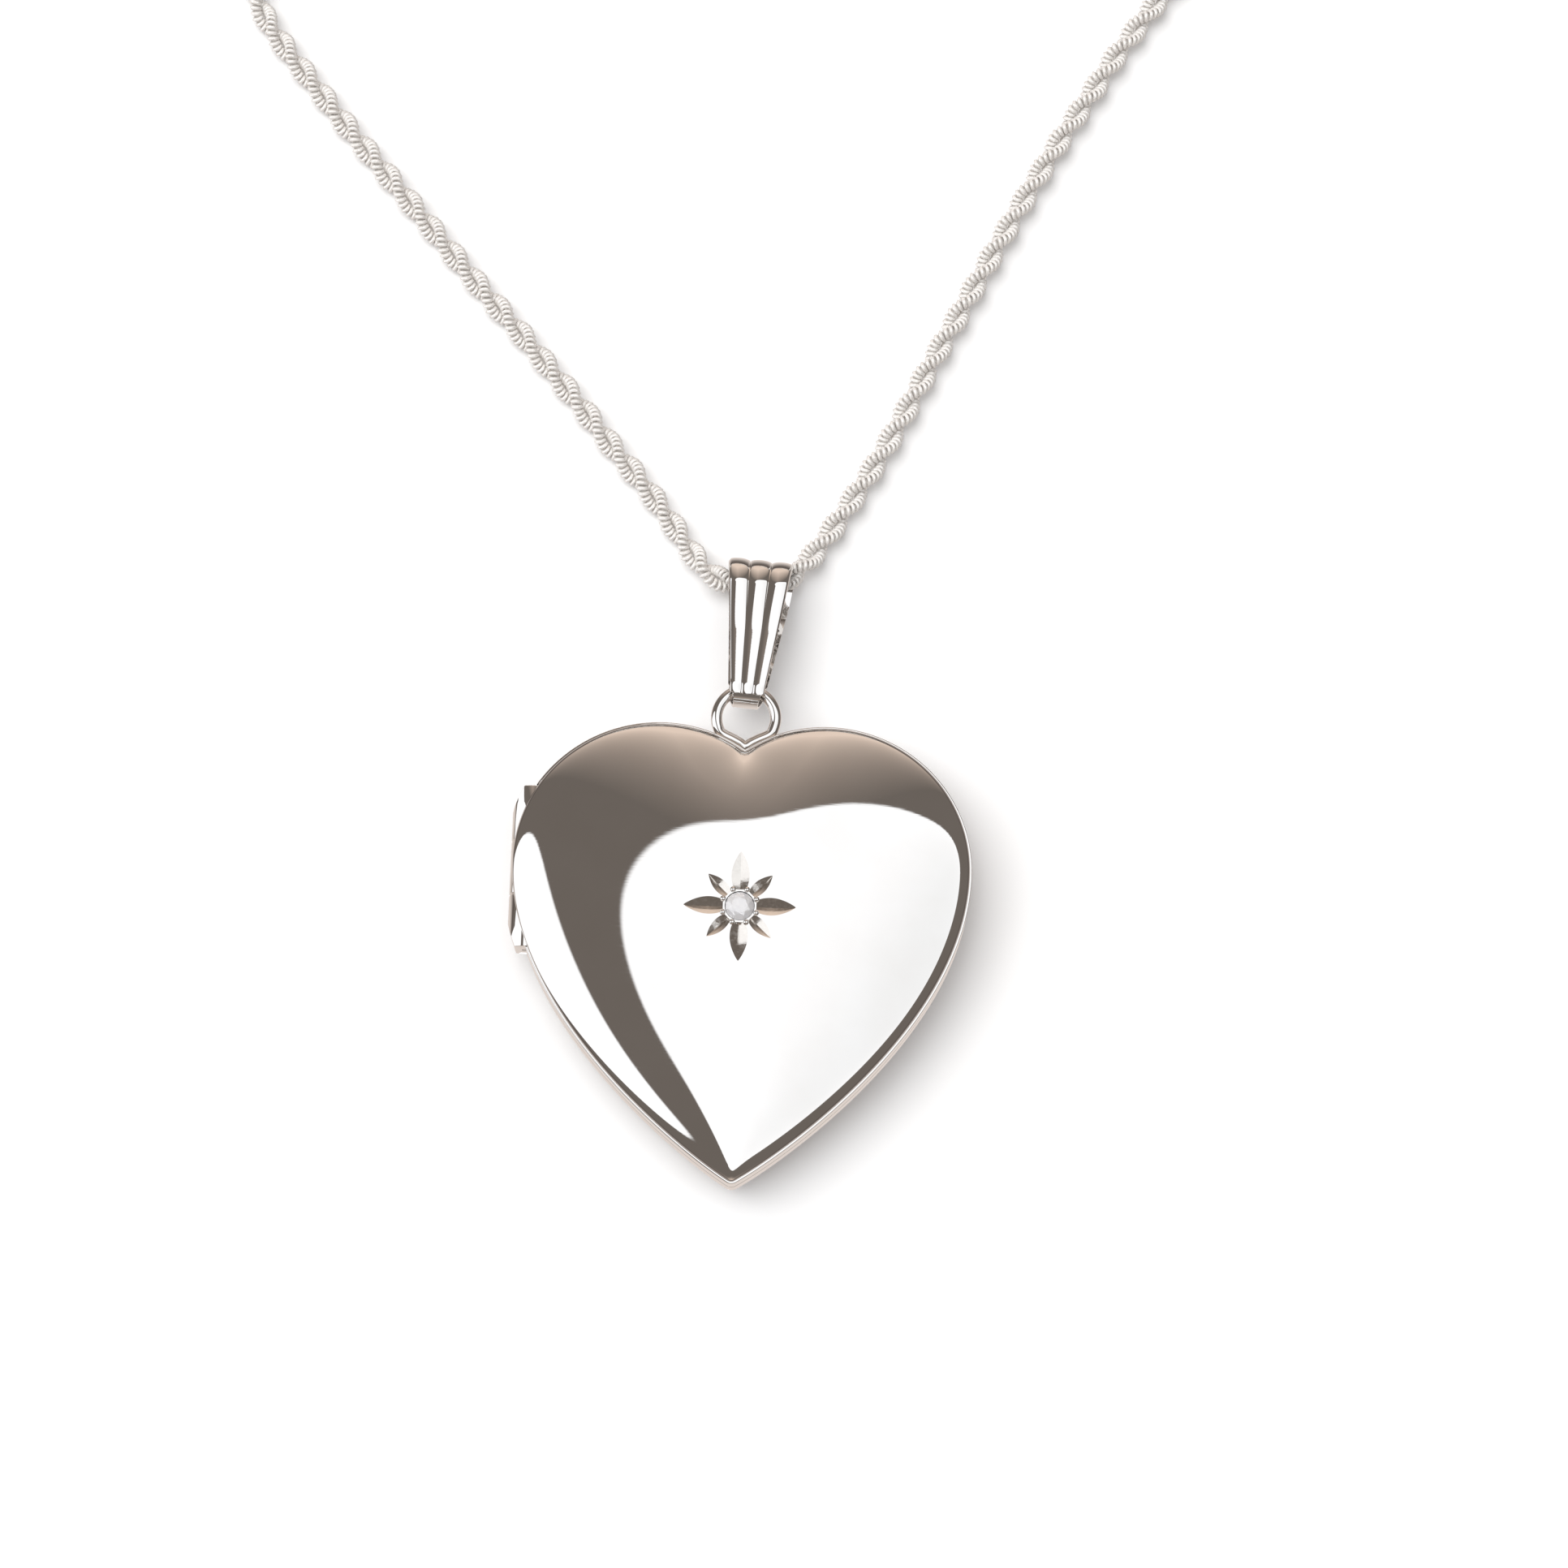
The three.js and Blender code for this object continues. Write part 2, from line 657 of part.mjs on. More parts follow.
// The outer shape of a wound arm.
function coil() {
  const low = coilRadius - coilHalfWidth;
  const high = coilRadius + coilHalfWidth;
  const round = chainRadius / 2;
  const profile = [
    [low, round],
    [low + round, 0],
    [high - round, 0],
    [high, round],
    [high, coilHeight - round],
    [high - round, coilHeight],
    [low + round, coilHeight],
    [low, coilHeight - round],
    [low, round],
  ];
  const points = profile.map(([x, y]) => new THREE.Vector2(x, y));
  return new THREE.LatheGeometry(points, 24).rotateX(Math.PI / 2).translate(0, 0, floorGap);
}

// A cup that holds the chain's end, open at its foot, with an eye at its head. It lies along +X.
function endCap(eyeUpright) {
  const profile = [
    [capBore, 0],
    [capRadius, 0],
    [capRadius, capBoreDepth + 2 * capWall],
    [capRadius / 2, capLength],
    [0, capLength],
    [0, capBoreDepth],
    [capBore, capBoreDepth],
    [capBore, 0],
  ];
  const points = profile.map(([x, y]) => new THREE.Vector2(x, y));
  const cup = solid(new THREE.LatheGeometry(points, 16).rotateZ(-Math.PI / 2));
  const eye = new THREE.TorusGeometry(eyeRadius, eyeWireRadius, 8, 16);
  if (eyeUpright) eye.rotateX(Math.PI / 2);
  return cup.add(solid(eye.translate(capLength + eyeRadius, 0, 0)));
}

function jumpRing(radius) {
  return new THREE.TorusGeometry(radius, linkWireRadius, 8, 20);
}

// ---- Spring ring clasp, about its own centre ----------------------------------------------------

// Part of a ring in the XY plane between two angles, with a round section that may be bored.
function ringArc(from, to, radius, bore, steps) {
  const section = new THREE.Shape().absarc(0, 0, radius, 0, 2 * Math.PI);
  if (bore) section.holes.push(new THREE.Path().absarc(0, 0, bore, 0, 2 * Math.PI, true));
  const points = [];
  for (let k = 0; k <= steps; k++) {
    const angle = from + (k / steps) * (to - from);
    points.push(new THREE.Vector3(claspRadius * Math.cos(angle), claspRadius * Math.sin(angle), 0));
  }
  const path = new THREE.CatmullRomCurve3(points);
  return new THREE.ExtrudeGeometry(section, {
    steps,
    extrudePath: path,
    bevelEnabled: false,
    curveSegments: 5,
  });
}

// A block swept along the ring, which cuts the slot that the knob slides in.
function knobSlot() {
  const half = knobRadius + runningGap;
  const margin = Math.asin(half / claspRadius);
  const from = knobAngle - margin;
  const to = knobAngle + triggerTravel + margin;
  const shape = new THREE.Shape();
  shape.absarc(0, 0, claspRadius + 2 * claspTubeRadius, from, to, false);
  shape.absarc(0, 0, claspRadius, to, from, true);
  const block = new THREE.ExtrudeGeometry(shape, { depth: 2 * half, bevelEnabled: false, curveSegments: 8 });
  return solid(block.translate(0, 0, -half));
}

function claspBody() {
  const tube = solid(ringArc(claspMouth, 2 * Math.PI - claspMouth, claspTubeRadius, claspBoreRadius, 18));
  const eye = new THREE.TorusGeometry(eyeRadius, eyeWireRadius, 8, 16).rotateX(Math.PI / 2);
  const reach = claspRadius + claspTubeRadius + eyeRadius;
  return tube.subtract(knobSlot()).add(solid(eye.translate(-reach, 0, 0)));
}

function claspTrigger() {
  const from = -claspMouth - triggerOverlap;
  const wire = solid(ringArc(from, triggerReach, claspWireRadius, 0, 10));
  const length = claspTubeRadius + knobStandOut;
  const knob = new THREE.CylinderGeometry(knobRadius, knobRadius, length, 10).rotateZ(-Math.PI / 2);
  knob.translate(claspRadius + length / 2, 0, 0).rotateZ(knobAngle);
  return wire.add(solid(knob));
}

function claspSpring() {
  const from = triggerReach + triggerTravel + THREE.MathUtils.degToRad(3);
  return ringArc(from, from + springSpan, claspWireRadius, claspWireRadius / 2, 4);
}

// ---- Assembly -----------------------------------------------------------------------------------

function backHalf() {
  const group = new THREE.Group();
  group.add(piece("back_cover", cover(BACK), polishedGold));
  group.add(piece("back_rim", backRim(), polishedGold));
  group.add(piece("back_photo_frame", photoFrame(BACK), polishedGold));
  group.add(piece("back_photo_window", photoWindow(BACK), acetate));
  group.add(piece("back_photo_card", photoCard(BACK), paper));
  group.add(piece("hinge_knuckle_lower", knuckle(0), polishedGold));
  group.add(piece("hinge_knuckle_upper", knuckle(2), polishedGold));
  group.add(piece("hinge_pin", hingePin(), steel));
  group.add(piece("hanging_ring", hangingRing(), polishedGold));
  return group;
}

function frontHalf() {
  const group = new THREE.Group();
  group.add(piece("front_cover", frontCover(), polishedGold));
  group.add(piece("front_rim", frontRim(), polishedGold));
  group.add(piece("front_photo_frame", photoFrame(FRONT), polishedGold));
  group.add(piece("front_photo_window", photoWindow(FRONT), acetate));
  group.add(piece("front_photo_card", photoCard(FRONT), paper));
  group.add(piece("hinge_knuckle_middle", knuckle(1), polishedGold));
  group.add(piece("star_diamond", roundStone(), stone));
  return group;
}

function hangingParts() {
  const group = new THREE.Group();
  const folded = piece("bail", bail(), polishedGold);
  folded.position.set(0, ringTopY, ringZ);
  folded.rotation.x = bailTilt;
  group.add(folded);
  group.add(piece("chain_saddle", chainSaddle(), chainGold));
  group.add(piece("chain_left", chainArm(leftRoute), chainGold));
  group.add(piece("chain_right", chainArm(rightRoute), chainGold));
  group.add(piece("chain_left_tail", chainArm(leftTail), chainGold));
  group.add(piece("chain_right_tail", chainArm(rightTail), chainGold));
  const leftCoil = piece("coil_left", coil(), chainGold);
  leftCoil.position.set(coilLeftX, coilCentreY, 0);
  const rightCoil = piece("coil_right", coil(), chainGold);
  rightCoil.position.set(coilRightX, coilCentreY, 0);
  group.add(leftCoil, rightCoil);
  return group;
}

// The clasp and its fittings, in a row between the coils, each hooked into the next.
function fastening() {
  const group = new THREE.Group();
  group.position.set(0, fasteningY, fittingZ);

  const leftCap = piece("left_end_cap", endCap(true), polishedGold);
  leftCap.position.x = leftCapX;
  const link = piece("left_jump_ring", jumpRing(linkRadius), polishedGold);
  link.position.x = leftLinkX;

  const clasp = new THREE.Group();
  clasp.position.x = claspX;
  clasp.add(piece("clasp_body", claspBody(), polishedGold));
  clasp.add(piece("clasp_trigger", claspTrigger(), polishedGold));
  clasp.add(piece("clasp_spring", claspSpring(), steel));

  const catchRing = piece("right_jump_ring", jumpRing(linkRadius), polishedGold);
  catchRing.rotation.x = Math.PI / 2;
  catchRing.position.set(catchRingX, 0, linkRadius + linkWireRadius - fittingZ);
  const rightCap = piece("right_end_cap", endCap(false), polishedGold);
  rightCap.rotation.z = Math.PI;
  rightCap.position.x = rightCapX;

  group.add(leftCap, link, clasp, catchRing, rightCap);
  return group;
}

const locket = new THREE.Group();
locket.add(backHalf(), frontHalf(), hangingParts(), fastening());

export default locket;
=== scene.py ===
"""A puffed heart locket on a rope chain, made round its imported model.

The frame is the model's: +Z out of the front cover, +Y from the heart's point to the bail, with the
origin under the middle of the back cover. Sizes are in metres.
"""
import math

import bmesh
import bpy
import numpy as np
from mathutils import Matrix, Vector


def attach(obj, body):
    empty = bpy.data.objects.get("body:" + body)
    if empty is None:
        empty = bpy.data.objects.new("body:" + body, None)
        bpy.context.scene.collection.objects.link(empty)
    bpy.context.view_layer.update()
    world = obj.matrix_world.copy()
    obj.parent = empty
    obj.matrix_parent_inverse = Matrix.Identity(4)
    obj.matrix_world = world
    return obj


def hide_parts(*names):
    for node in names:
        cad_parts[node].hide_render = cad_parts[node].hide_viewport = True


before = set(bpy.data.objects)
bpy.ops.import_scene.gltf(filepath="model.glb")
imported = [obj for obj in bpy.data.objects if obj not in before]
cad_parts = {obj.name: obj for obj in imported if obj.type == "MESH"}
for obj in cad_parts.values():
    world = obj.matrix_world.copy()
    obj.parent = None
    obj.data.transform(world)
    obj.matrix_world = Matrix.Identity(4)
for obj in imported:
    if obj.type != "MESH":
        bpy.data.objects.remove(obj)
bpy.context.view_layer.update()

MM = 0.001

# ---- Sizes, in millimetres ----

HALF_WIDTH = 10.02  # heart outline
LOBE_RADIUS = 6.4
LOBE_CENTRE_X = HALF_WIDTH - LOBE_RADIUS
LOBE_CENTRE_Y = 3.72
TIP_Y = -10.2
TIP_RADIUS = 0.4
TIP_HALF_ANGLE = math.radians(59.5)
SIDE_HANDLE = 6.9
TIP_HANDLE = 1.87

SEAM_Z = 2.37
SEAM_GAP = 0.03
RIM_HEIGHT = 0.85
RIM_WALL = 0.6
LIP_IN = 0.85  # from the outline to the inside of the back rim's lip
LIP_OUT = 0.65
LIP_HEIGHT = 0.2
LEDGE_WALL = 0.12
LEDGE_REACH = 1.25

COVER_INSET = 0.08
COVER_WALL = 0.3
COVER_FOOT = 0.87  # from the seam to the foot of a cover
DOME_RISE = 1.5
CROWN_Y = 1.6
CROWN_HALF_WIDTH = 9.0
CROWN_HALF_LENGTH = 8.6
CROWN_POWER = 2.4
EDGE_POWER = 0.56
BACK_FLAT = 0.28

STONE_RADIUS = 0.625
GIRDLE_Z = 4.69
HINGE_X = -9.22
HINGE_Y = 3.5
HINGE_LENGTH = 7.2
HINGE_GAP = 0.04
KNUCKLE_RADIUS = 0.83
KNUCKLE_PROUD = 0.42
PIN_RADIUS = 0.15

RING_RADIUS = 1.3
RING_WIRE = 0.25
RING_CENTRE_Y = 10.65
WIRE_Y = RING_CENTRE_Y + RING_RADIUS
RING_NEST = 6.69

COIL_Y = 57.5
LEFT_COIL_X = -13.0
RIGHT_COIL_X = 11.9
FASTENING_Y = 66.5
FITTING_Z = 0.76
LEFT_CAP_X = -6.7
LEFT_LINK_X = -3.65
CLASP_X = 0.25
CATCH_RING_X = 2.55
RIGHT_CAP_X = 5.6

# ---- Camera ----

VIEW_ELEVATION = math.radians(75)
VIEW_ROLL = math.radians(1.7)


def aim_camera():
    """Looks down at the locket from the side of its point, turned a little about the view's own axis."""
    ahead = Vector((0, math.cos(VIEW_ELEVATION), -math.sin(VIEW_ELEVATION)))
    level = Vector((1, 0, 0))
    upward = Vector((0, math.sin(VIEW_ELEVATION), math.cos(VIEW_ELEVATION)))
    right = level * math.cos(VIEW_ROLL) + upward * math.sin(VIEW_ROLL)
    top = upward * math.cos(VIEW_ROLL) - level * math.sin(VIEW_ROLL)
    data = bpy.data.cameras.new("view")
    data.lens = 100
    data.sensor_width = 36
    data.clip_start = 0.01
    data.clip_end = 10
    camera = bpy.data.objects.new("view", data)
    turned = Matrix((right, top, -ahead)).transposed().to_4x4()
    camera.matrix_world = Matrix.Translation(Vector((1.75, -41.7, 186.74)) * MM) @ turned
    bpy.context.scene.collection.objects.link(camera)
    bpy.context.scene.camera = camera


aim_camera()

# ---- Node helpers ----


def add_node(tree, kind, settings=None, **inputs):
    """Adds a node; settings are its properties, and inputs its sockets by name, as values or sockets."""
    node = tree.nodes.new(kind)
    for name, value in (settings or {}).items():
        setattr(node, name, value)
    for name, value in inputs.items():
        plug(tree, node.inputs[name.replace("_", " ")], value)
    return node


def plug(tree, socket, value):
    if isinstance(value, bpy.types.NodeSocket):
        tree.links.new(value, socket)
    else:
        socket.default_value = value


def sum_of(tree, operation, first, second=0.0, third=None):
    """A math node's result."""
    node = tree.nodes.new("ShaderNodeMath")
    node.operation = operation
    for k, value in enumerate((first, second, third)):
        if value is not None:
            plug(tree, node.inputs[k], value)
    return node.outputs[0]


def vector_sum(tree, operation, first, second=None, scale=None):
    node = tree.nodes.new("ShaderNodeVectorMath")
    node.operation = operation
    plug(tree, node.inputs[0], first)
    if second is not None:
        plug(tree, node.inputs[1], second)
    if scale is not None:
        plug(tree, node.inputs["Scale"], scale)
    return node.outputs["Value"] if operation in ("DOT_PRODUCT", "LENGTH") else node.outputs[0]


def spread(tree, value, low, high, out_low=0.0, out_high=1.0, smooth=False):
    """Maps a value from one range to another, held at both ends."""
    node = tree.nodes.new("ShaderNodeMapRange")
    if smooth:
        node.interpolation_type = "SMOOTHSTEP"
    for name, x in (("Value", value), ("From Min", low), ("From Max", high),
                    ("To Min", out_low), ("To Max", out_high)):
        plug(tree, node.inputs[name], x)
    return node.outputs["Result"]


def blend_colours(tree, factor, first, second, way="MIX"):
    node = tree.nodes.new("ShaderNodeMix")
    node.data_type = "RGBA"
    node.blend_type = way
    plug(tree, node.inputs[0], factor)
    plug(tree, node.inputs[6], first)
    plug(tree, node.inputs[7], second)
    return node.outputs[2]


# ---- Finishes ----

NOISE_SPAN = (0.3, 0.7)  # where most of a noise's values lie


def finish_tree(name, metallic, **fixed):
    """A material with a Principled shader, and Object coordinates in millimetres."""
    material = bpy.data.materials.new(name)
    material.use_nodes = True
    tree = material.node_tree
    shader = next(n for n in tree.nodes if n.type == "BSDF_PRINCIPLED")
    shader.inputs["Metallic"].default_value = metallic
    for socket, value in fixed.items():
        shader.inputs[socket.replace("_", " ")].default_value = value
    place = add_node(tree, "ShaderNodeTexCoord").outputs["Object"]
    place = vector_sum(tree, "SCALE", place, scale=1 / MM)
    return material, tree, shader, place


def fine_noise(tree, place, scale, detail=3.0, stretch=None):
    if stretch:
        place = vector_sum(tree, "MULTIPLY", place, stretch)
    noise = add_node(tree, "ShaderNodeTexNoise", Vector=place, Scale=scale, Detail=detail)
    return noise.outputs["Fac"]


def roughen(tree, shader, height, strength, distance):
    """Bump from a height, with distance in millimetres."""
    bump = add_node(tree, "ShaderNodeBump", Strength=strength, Distance=distance * MM, Height=height)
    tree.links.new(bump.outputs["Normal"], shader.inputs["Normal"])


def polished_gold():
    """Mirror-polished white gold, with faint wipe marks and hairlines."""
    material, tree, shader, place = finish_tree("polished_gold", 1.0)
    cloudy = fine_noise(tree, place, 0.35)
    hairs = fine_noise(tree, place, 1.0, 4.0, (0.9, 14.0, 4.0))
    tone = spread(tree, cloudy, *NOISE_SPAN)
    tint = blend_colours(tree, tone, (0.84, 0.82, 0.80, 1), (0.87, 0.855, 0.84, 1))
    tree.links.new(tint, shader.inputs["Base Color"])
    worn = sum_of(tree, "MULTIPLY", spread(tree, hairs, 0.45, 0.8), spread(tree, cloudy, 0.35, 0.75))
    plug(tree, shader.inputs["Roughness"], spread(tree, worn, 0, 1, 0.02, 0.075))
    roughen(tree, shader, hairs, 0.02, 0.01)
    return material


def colour_and_gloss(tree, shader, pattern, dark, light, smooth, rough):
    """Lets a pattern set the colour and the roughness."""
    plug(tree, shader.inputs["Base Color"], blend_colours(tree, pattern, (*dark, 1), (*light, 1)))
    plug(tree, shader.inputs["Roughness"], spread(tree, pattern, *NOISE_SPAN, smooth, rough))


def cut_gold():
    """Bright-cut white gold: the graver's fine lines in the star's petals."""
    material, tree, shader, place = finish_tree("cut_gold", 1.0)
    lines = fine_noise(tree, place, 9.0, 2.0, (1.0, 1.0, 0.2))
    colour_and_gloss(tree, shader, lines, (0.74, 0.70, 0.66), (0.90, 0.87, 0.83), 0.06, 0.2)
    roughen(tree, shader, lines, 0.15, 0.01)
    return material


def chain_gold():
    """Fine drawn wire, polished, a little duller in patches."""
    material, tree, shader, place = finish_tree("chain_gold", 0.3)
    patch = fine_noise(tree, place, 1.7)
    colour_and_gloss(tree, shader, patch, (0.93, 0.90, 0.865), (0.985, 0.965, 0.94), 0.2, 0.34)
    return material


def pin_steel():
    """Drawn wire with lines along it."""
    material, tree, shader, place = finish_tree("pin_steel", 1.0)
    lines = fine_noise(tree, place, 6.0, 3.0, (6.0, 0.4, 6.0))
    colour_and_gloss(tree, shader, lines, (0.42, 0.41, 0.40), (0.66, 0.65, 0.63), 0.2, 0.4)
    roughen(tree, shader, lines, 0.2, 0.01)
    return material


def diamond():
    """A clear stone that shows some of its own brightness through fine clouds."""
    material, tree, shader, place = finish_tree("diamond", 0.0, IOR=2.4, Transmission_Weight=0.35)
    clouds = fine_noise(tree, place, 4.0, 2.0)
    colour_and_gloss(tree, shader, clouds, (0.80, 0.80, 0.84), (1.0, 0.985, 0.97), 0.0, 0.03)
    return material


def acetate():
    """Clear sheet with a faint waviness."""
    material, tree, shader, place = finish_tree("acetate", 0.0, IOR=1.47, Transmission_Weight=0.9)
    wave = fine_noise(tree, place, 0.25)
    colour_and_gloss(tree, shader, wave, (0.93, 0.945, 0.94), (0.98, 0.985, 0.98), 0.02, 0.07)
    roughen(tree, shader, wave, 0.1, 0.05)
    return material


def paper():
    """Matt card with a fine fibre."""
    material, tree, shader, place = finish_tree("paper", 0.0)
    fibre = fine_noise(tree, place, 7.0, 6.0, (1.0, 2.6, 1.0))
    colour_and_gloss(tree, shader, fibre, (0.80, 0.765, 0.69), (0.95, 0.93, 0.88), 0.75, 0.95)
    roughen(tree, shader, fibre, 0.4, 0.02)
    return material


FINISHES = {make.__name__: make() for make in (
    polished_gold, cut_gold, chain_gold, pin_steel, diamond, acetate, paper)}

# ---- Meshes ----


def object_of(name, mesh):
    made = bpy.data.objects.new(name, mesh)
    bpy.context.scene.collection.objects.link(made)
    return made


def grid_faces(rings, points, wrap_rings):
    """Quads over rings of points, each ring closed on itself."""
    faces = []
    for i in range(rings if wrap_rings else rings - 1):
        a = i * points
        b = ((i + 1) % rings) * points
        for k in range(points):
            n = (k + 1) % points
            faces.append((a + k, a + n, b + n, b + k))
    return faces


def skin(name, rings, wrap_rings=False, crease=35):
    """A closed smooth skin over rings of points in millimetres; a ring drawn to one point closes an end."""
    rings = np.asarray(rings, float)
    count, points = rings.shape[:2]
    mesh = bpy.data.meshes.new(name)
    mesh.from_pydata((rings.reshape(-1, 3) * MM).tolist(), [], grid_faces(count, points, wrap_rings))
    return object_of(name, tidy(mesh, crease))


def capped(rings):
    """Closes both ends of a row of rings in their middles."""
    first, last = ([np.mean(ring, axis=0)] * len(ring) for ring in (rings[0], rings[-1]))
    return [first, *rings, last]


def tidy(mesh, crease=35):
    """Merges doubles, turns the faces outwards, and smooths all but the creased edges."""
    shape = bmesh.new()
    shape.from_mesh(mesh)
    bmesh.ops.remove_doubles(shape, verts=shape.verts, dist=1e-7)
    bmesh.ops.dissolve_degenerate(shape, edges=shape.edges, dist=1e-8)
    bmesh.ops.recalc_face_normals(shape, faces=shape.faces)
    if shape.calc_volume(signed=True) < 0:
        bmesh.ops.reverse_faces(shape, faces=shape.faces)
    sharpen(shape, crease)
    shape.to_mesh(mesh)
    shape.free()
    return mesh


def sharpen(shape, crease):
    for face in shape.faces:
        face.smooth = True
    for edge in shape.edges:
        if len(edge.link_faces) == 2:
            edge.smooth = edge.calc_face_angle(0) < math.radians(crease)


def carve(piece, tools, way="DIFFERENCE", crease=35):
    """Cuts a piece with others, joins them to it, or keeps what they share; the others are used up."""
    for tool in tools:
        cut = piece.modifiers.new("cut", "BOOLEAN")
        cut.operation = way
        cut.solver = "MANIFOLD"
        cut.object = tool
    made = plain(piece, piece.name)
    for tool in tools:
        bpy.data.objects.remove(tool)
    shape = bmesh.new()
    shape.from_mesh(made.data)
    sharpen(shape, crease)
    shape.to_mesh(made.data)
    shape.free()
    return made


def plain(piece, name):
    """The piece as its modifiers leave it, as a mesh of its own; the old one goes."""
    bpy.context.view_layer.update()
    evaluated = piece.evaluated_get(bpy.context.evaluated_depsgraph_get())
    mesh = bpy.data.meshes.new_from_object(evaluated)
    bpy.data.objects.remove(piece)
    mesh.name = name
    return object_of(name, mesh)


def soften(piece, width, segments=2, angle=50):
    """Rounds a piece's hard edges."""
    bevel = piece.modifiers.new("rounded", "BEVEL")
    bevel.width = width * MM
    bevel.segments = segments
    bevel.limit_method = "ANGLE"
    bevel.angle_limit = math.radians(angle)
    return plain(piece, piece.name)


def wear(piece, *slots):
    """Gives a piece its finishes, one slot each, in the order given."""
    piece.data.materials.clear()
    for slot in slots:
        piece.data.materials.append(FINISHES[slot])
    return piece


def smooth_path(points, step):
    """An even walk along a smooth curve through the points."""
    points = np.asarray(points, float)
    padded = np.vstack([2 * points[0] - points[1], points, 2 * points[-1] - points[-2]])
    fine = []
    for a, b, c, d in zip(padded, padded[1:], padded[2:], padded[3:]):
        knots = np.cumsum([0] + [np.linalg.norm(q - p) ** 0.5 for p, q in ((a, b), (b, c), (c, d))])
        t = np.linspace(knots[1], knots[2], 24, endpoint=False)[:, None]
        mix = lambda p, q, lo, hi: (hi - t) / (hi - lo) * p + (t - lo) / (hi - lo) * q
        ab, bc, cd = (mix(p, q, *knots[k:k + 2]) for k, (p, q) in enumerate(((a, b), (b, c), (c, d))))
        fine.append(mix(mix(ab, bc, knots[0], knots[2]), mix(bc, cd, knots[1], knots[3]),
                        knots[1], knots[2]))
    fine = np.vstack(fine + [points[-1:]])
    far = np.concatenate([[0], np.cumsum(np.linalg.norm(np.diff(fine, axis=0), axis=1))])
    even = np.linspace(0, far[-1], int(far[-1] / step) + 1)
    return np.stack([np.interp(even, far, fine[:, k]) for k in range(3)], axis=1)


# ---- Chain ----

FLOOR_Z = 0.62  # height of the middle of a chain that lies on the table
LEFT_ROUTE = [(0.0, 17.22, 1.17), (-1.1, 17.3, 1.16), (-1.9, 17.75, 1.06), (-2.6, 18.6, 0.78)] + [
    (x, y, FLOOR_Z) for x, y in (
        (-3.4, 19.8), (-4.8, 21.7), (-6.3, 23.5), (-7.8, 25.4), (-9.4, 27.3), (-11.0, 29.2),
        (-12.7, 31.1), (-14.3, 33.0), (-15.9, 34.9), (-17.5, 36.8), (-19.2, 38.8), (-20.8, 40.8),
        (-22.4, 42.8), (-23.7, 44.9), (-24.2, 47.2), (-23.8, 49.5), (-22.7, 51.6), (-21.5, 53.7))]
RIGHT_ROUTE = [(0.0, 17.22, 1.17), (1.1, 17.3, 1.16), (1.9, 17.75, 1.06), (2.6, 18.6, 0.78)] + [
    (x, y, FLOOR_Z) for x, y in (
        (3.4, 19.8), (4.5, 21.6), (5.7, 23.7), (6.8, 25.9), (7.8, 28.0), (8.9, 30.2), (10.0, 32.4),
        (11.1, 34.6), (12.3, 36.9), (13.5, 39.1), (14.8, 41.3), (16.1, 43.5), (17.5, 45.6),
        (18.9, 47.6), (20.3, 49.4), (21.1, 51.3), (20.9, 53.3))]
# What leaves a coil, from its middle: across, along and up
TAIL = [(-1.6, 8.84, 0.62), (0.0, 9.0, 0.62), (1.6, 9.0, 0.62), (3.2, 9.0, 0.65), (4.7, 9.0, 0.71),
        (6.1, 9.0, 0.76), (7.3, 9.0, 0.76)]
UPPER_Z = 1.66
COIL_RADII = ((7.7, FLOOR_Z), (6.5, FLOOR_Z), (5.3, FLOOR_Z), (5.9, UPPER_Z))
COIL_POINTS = 18


def coil_route(centre_x, side):
    """Turns that lie beside and on each other, then the way down over them and into the end cap."""
    first, shift = math.radians(165), math.radians(60)
    ends = COIL_RADII[1:] + ((7.1, UPPER_Z),)
    route = []
    for (radius, z), (next_radius, next_z) in zip(COIL_RADII, ends):
        for k in range(COIL_POINTS):
            turned = k / COIL_POINTS * 2 * math.pi
            share = max(0.0, (turned - (2 * math.pi - shift)) / shift)
            share = share * share * (3 - 2 * share)
            r = radius + (next_radius - radius) * share
            route.append((r, first - turned, z + (next_z - z) * share))
    for degrees, r, z in ((158, 7.55, 1.84), (148, 8.1, 1.80), (138, 8.6, 1.5), (128, 8.9, 1.05),
                          (118, 9.0, 0.72), (109, 9.0, 0.63)):
        route.append((r, math.radians(degrees), z))
    around = [(r * math.cos(a), r * math.sin(a), z) for r, a, z in route]
    return [(centre_x + side * x, COIL_Y + y, z) for x, y, z in around + TAIL]


ROPE_METAL = FINISHES["chain_gold"]
ROPE = {"Ring spacing": 0.1 * MM, "Twist length": 3.3 * MM, "Strand offset": 0.29 * MM,
        "Ring radius": 0.2 * MM, "Wire radius": 0.1 * MM, "Ring lean": 1.0, "Unevenness": 0.05,
        "Material": ROPE_METAL}
RING_SIDES, WIRE_SIDES = 9, 4
ROPE_SEED = 7
LINE_STEP = 0.3  # between the points of an arm's line
INPUTS = {float: "NodeSocketFloat", int: "NodeSocketInt", tuple: "NodeSocketVector",
          type(ROPE_METAL): "NodeSocketMaterial"}


def open_tree(name, sizes):
    """A geometry tree with a named input for each of its sizes."""
    tree = bpy.data.node_groups.new(name, "GeometryNodeTree")
    tree.interface.new_socket("Geometry", in_out="INPUT", socket_type="NodeSocketGeometry")
    sockets = {}
    for label, value in sizes.items():
        socket = tree.interface.new_socket(label, in_out="INPUT", socket_type=INPUTS[type(value)])
        socket.default_value = value
        sockets[label] = socket.identifier
    tree.interface.new_socket("Geometry", in_out="OUTPUT", socket_type="NodeSocketGeometry")
    return tree, sockets, tree.nodes.new("NodeGroupInput").outputs


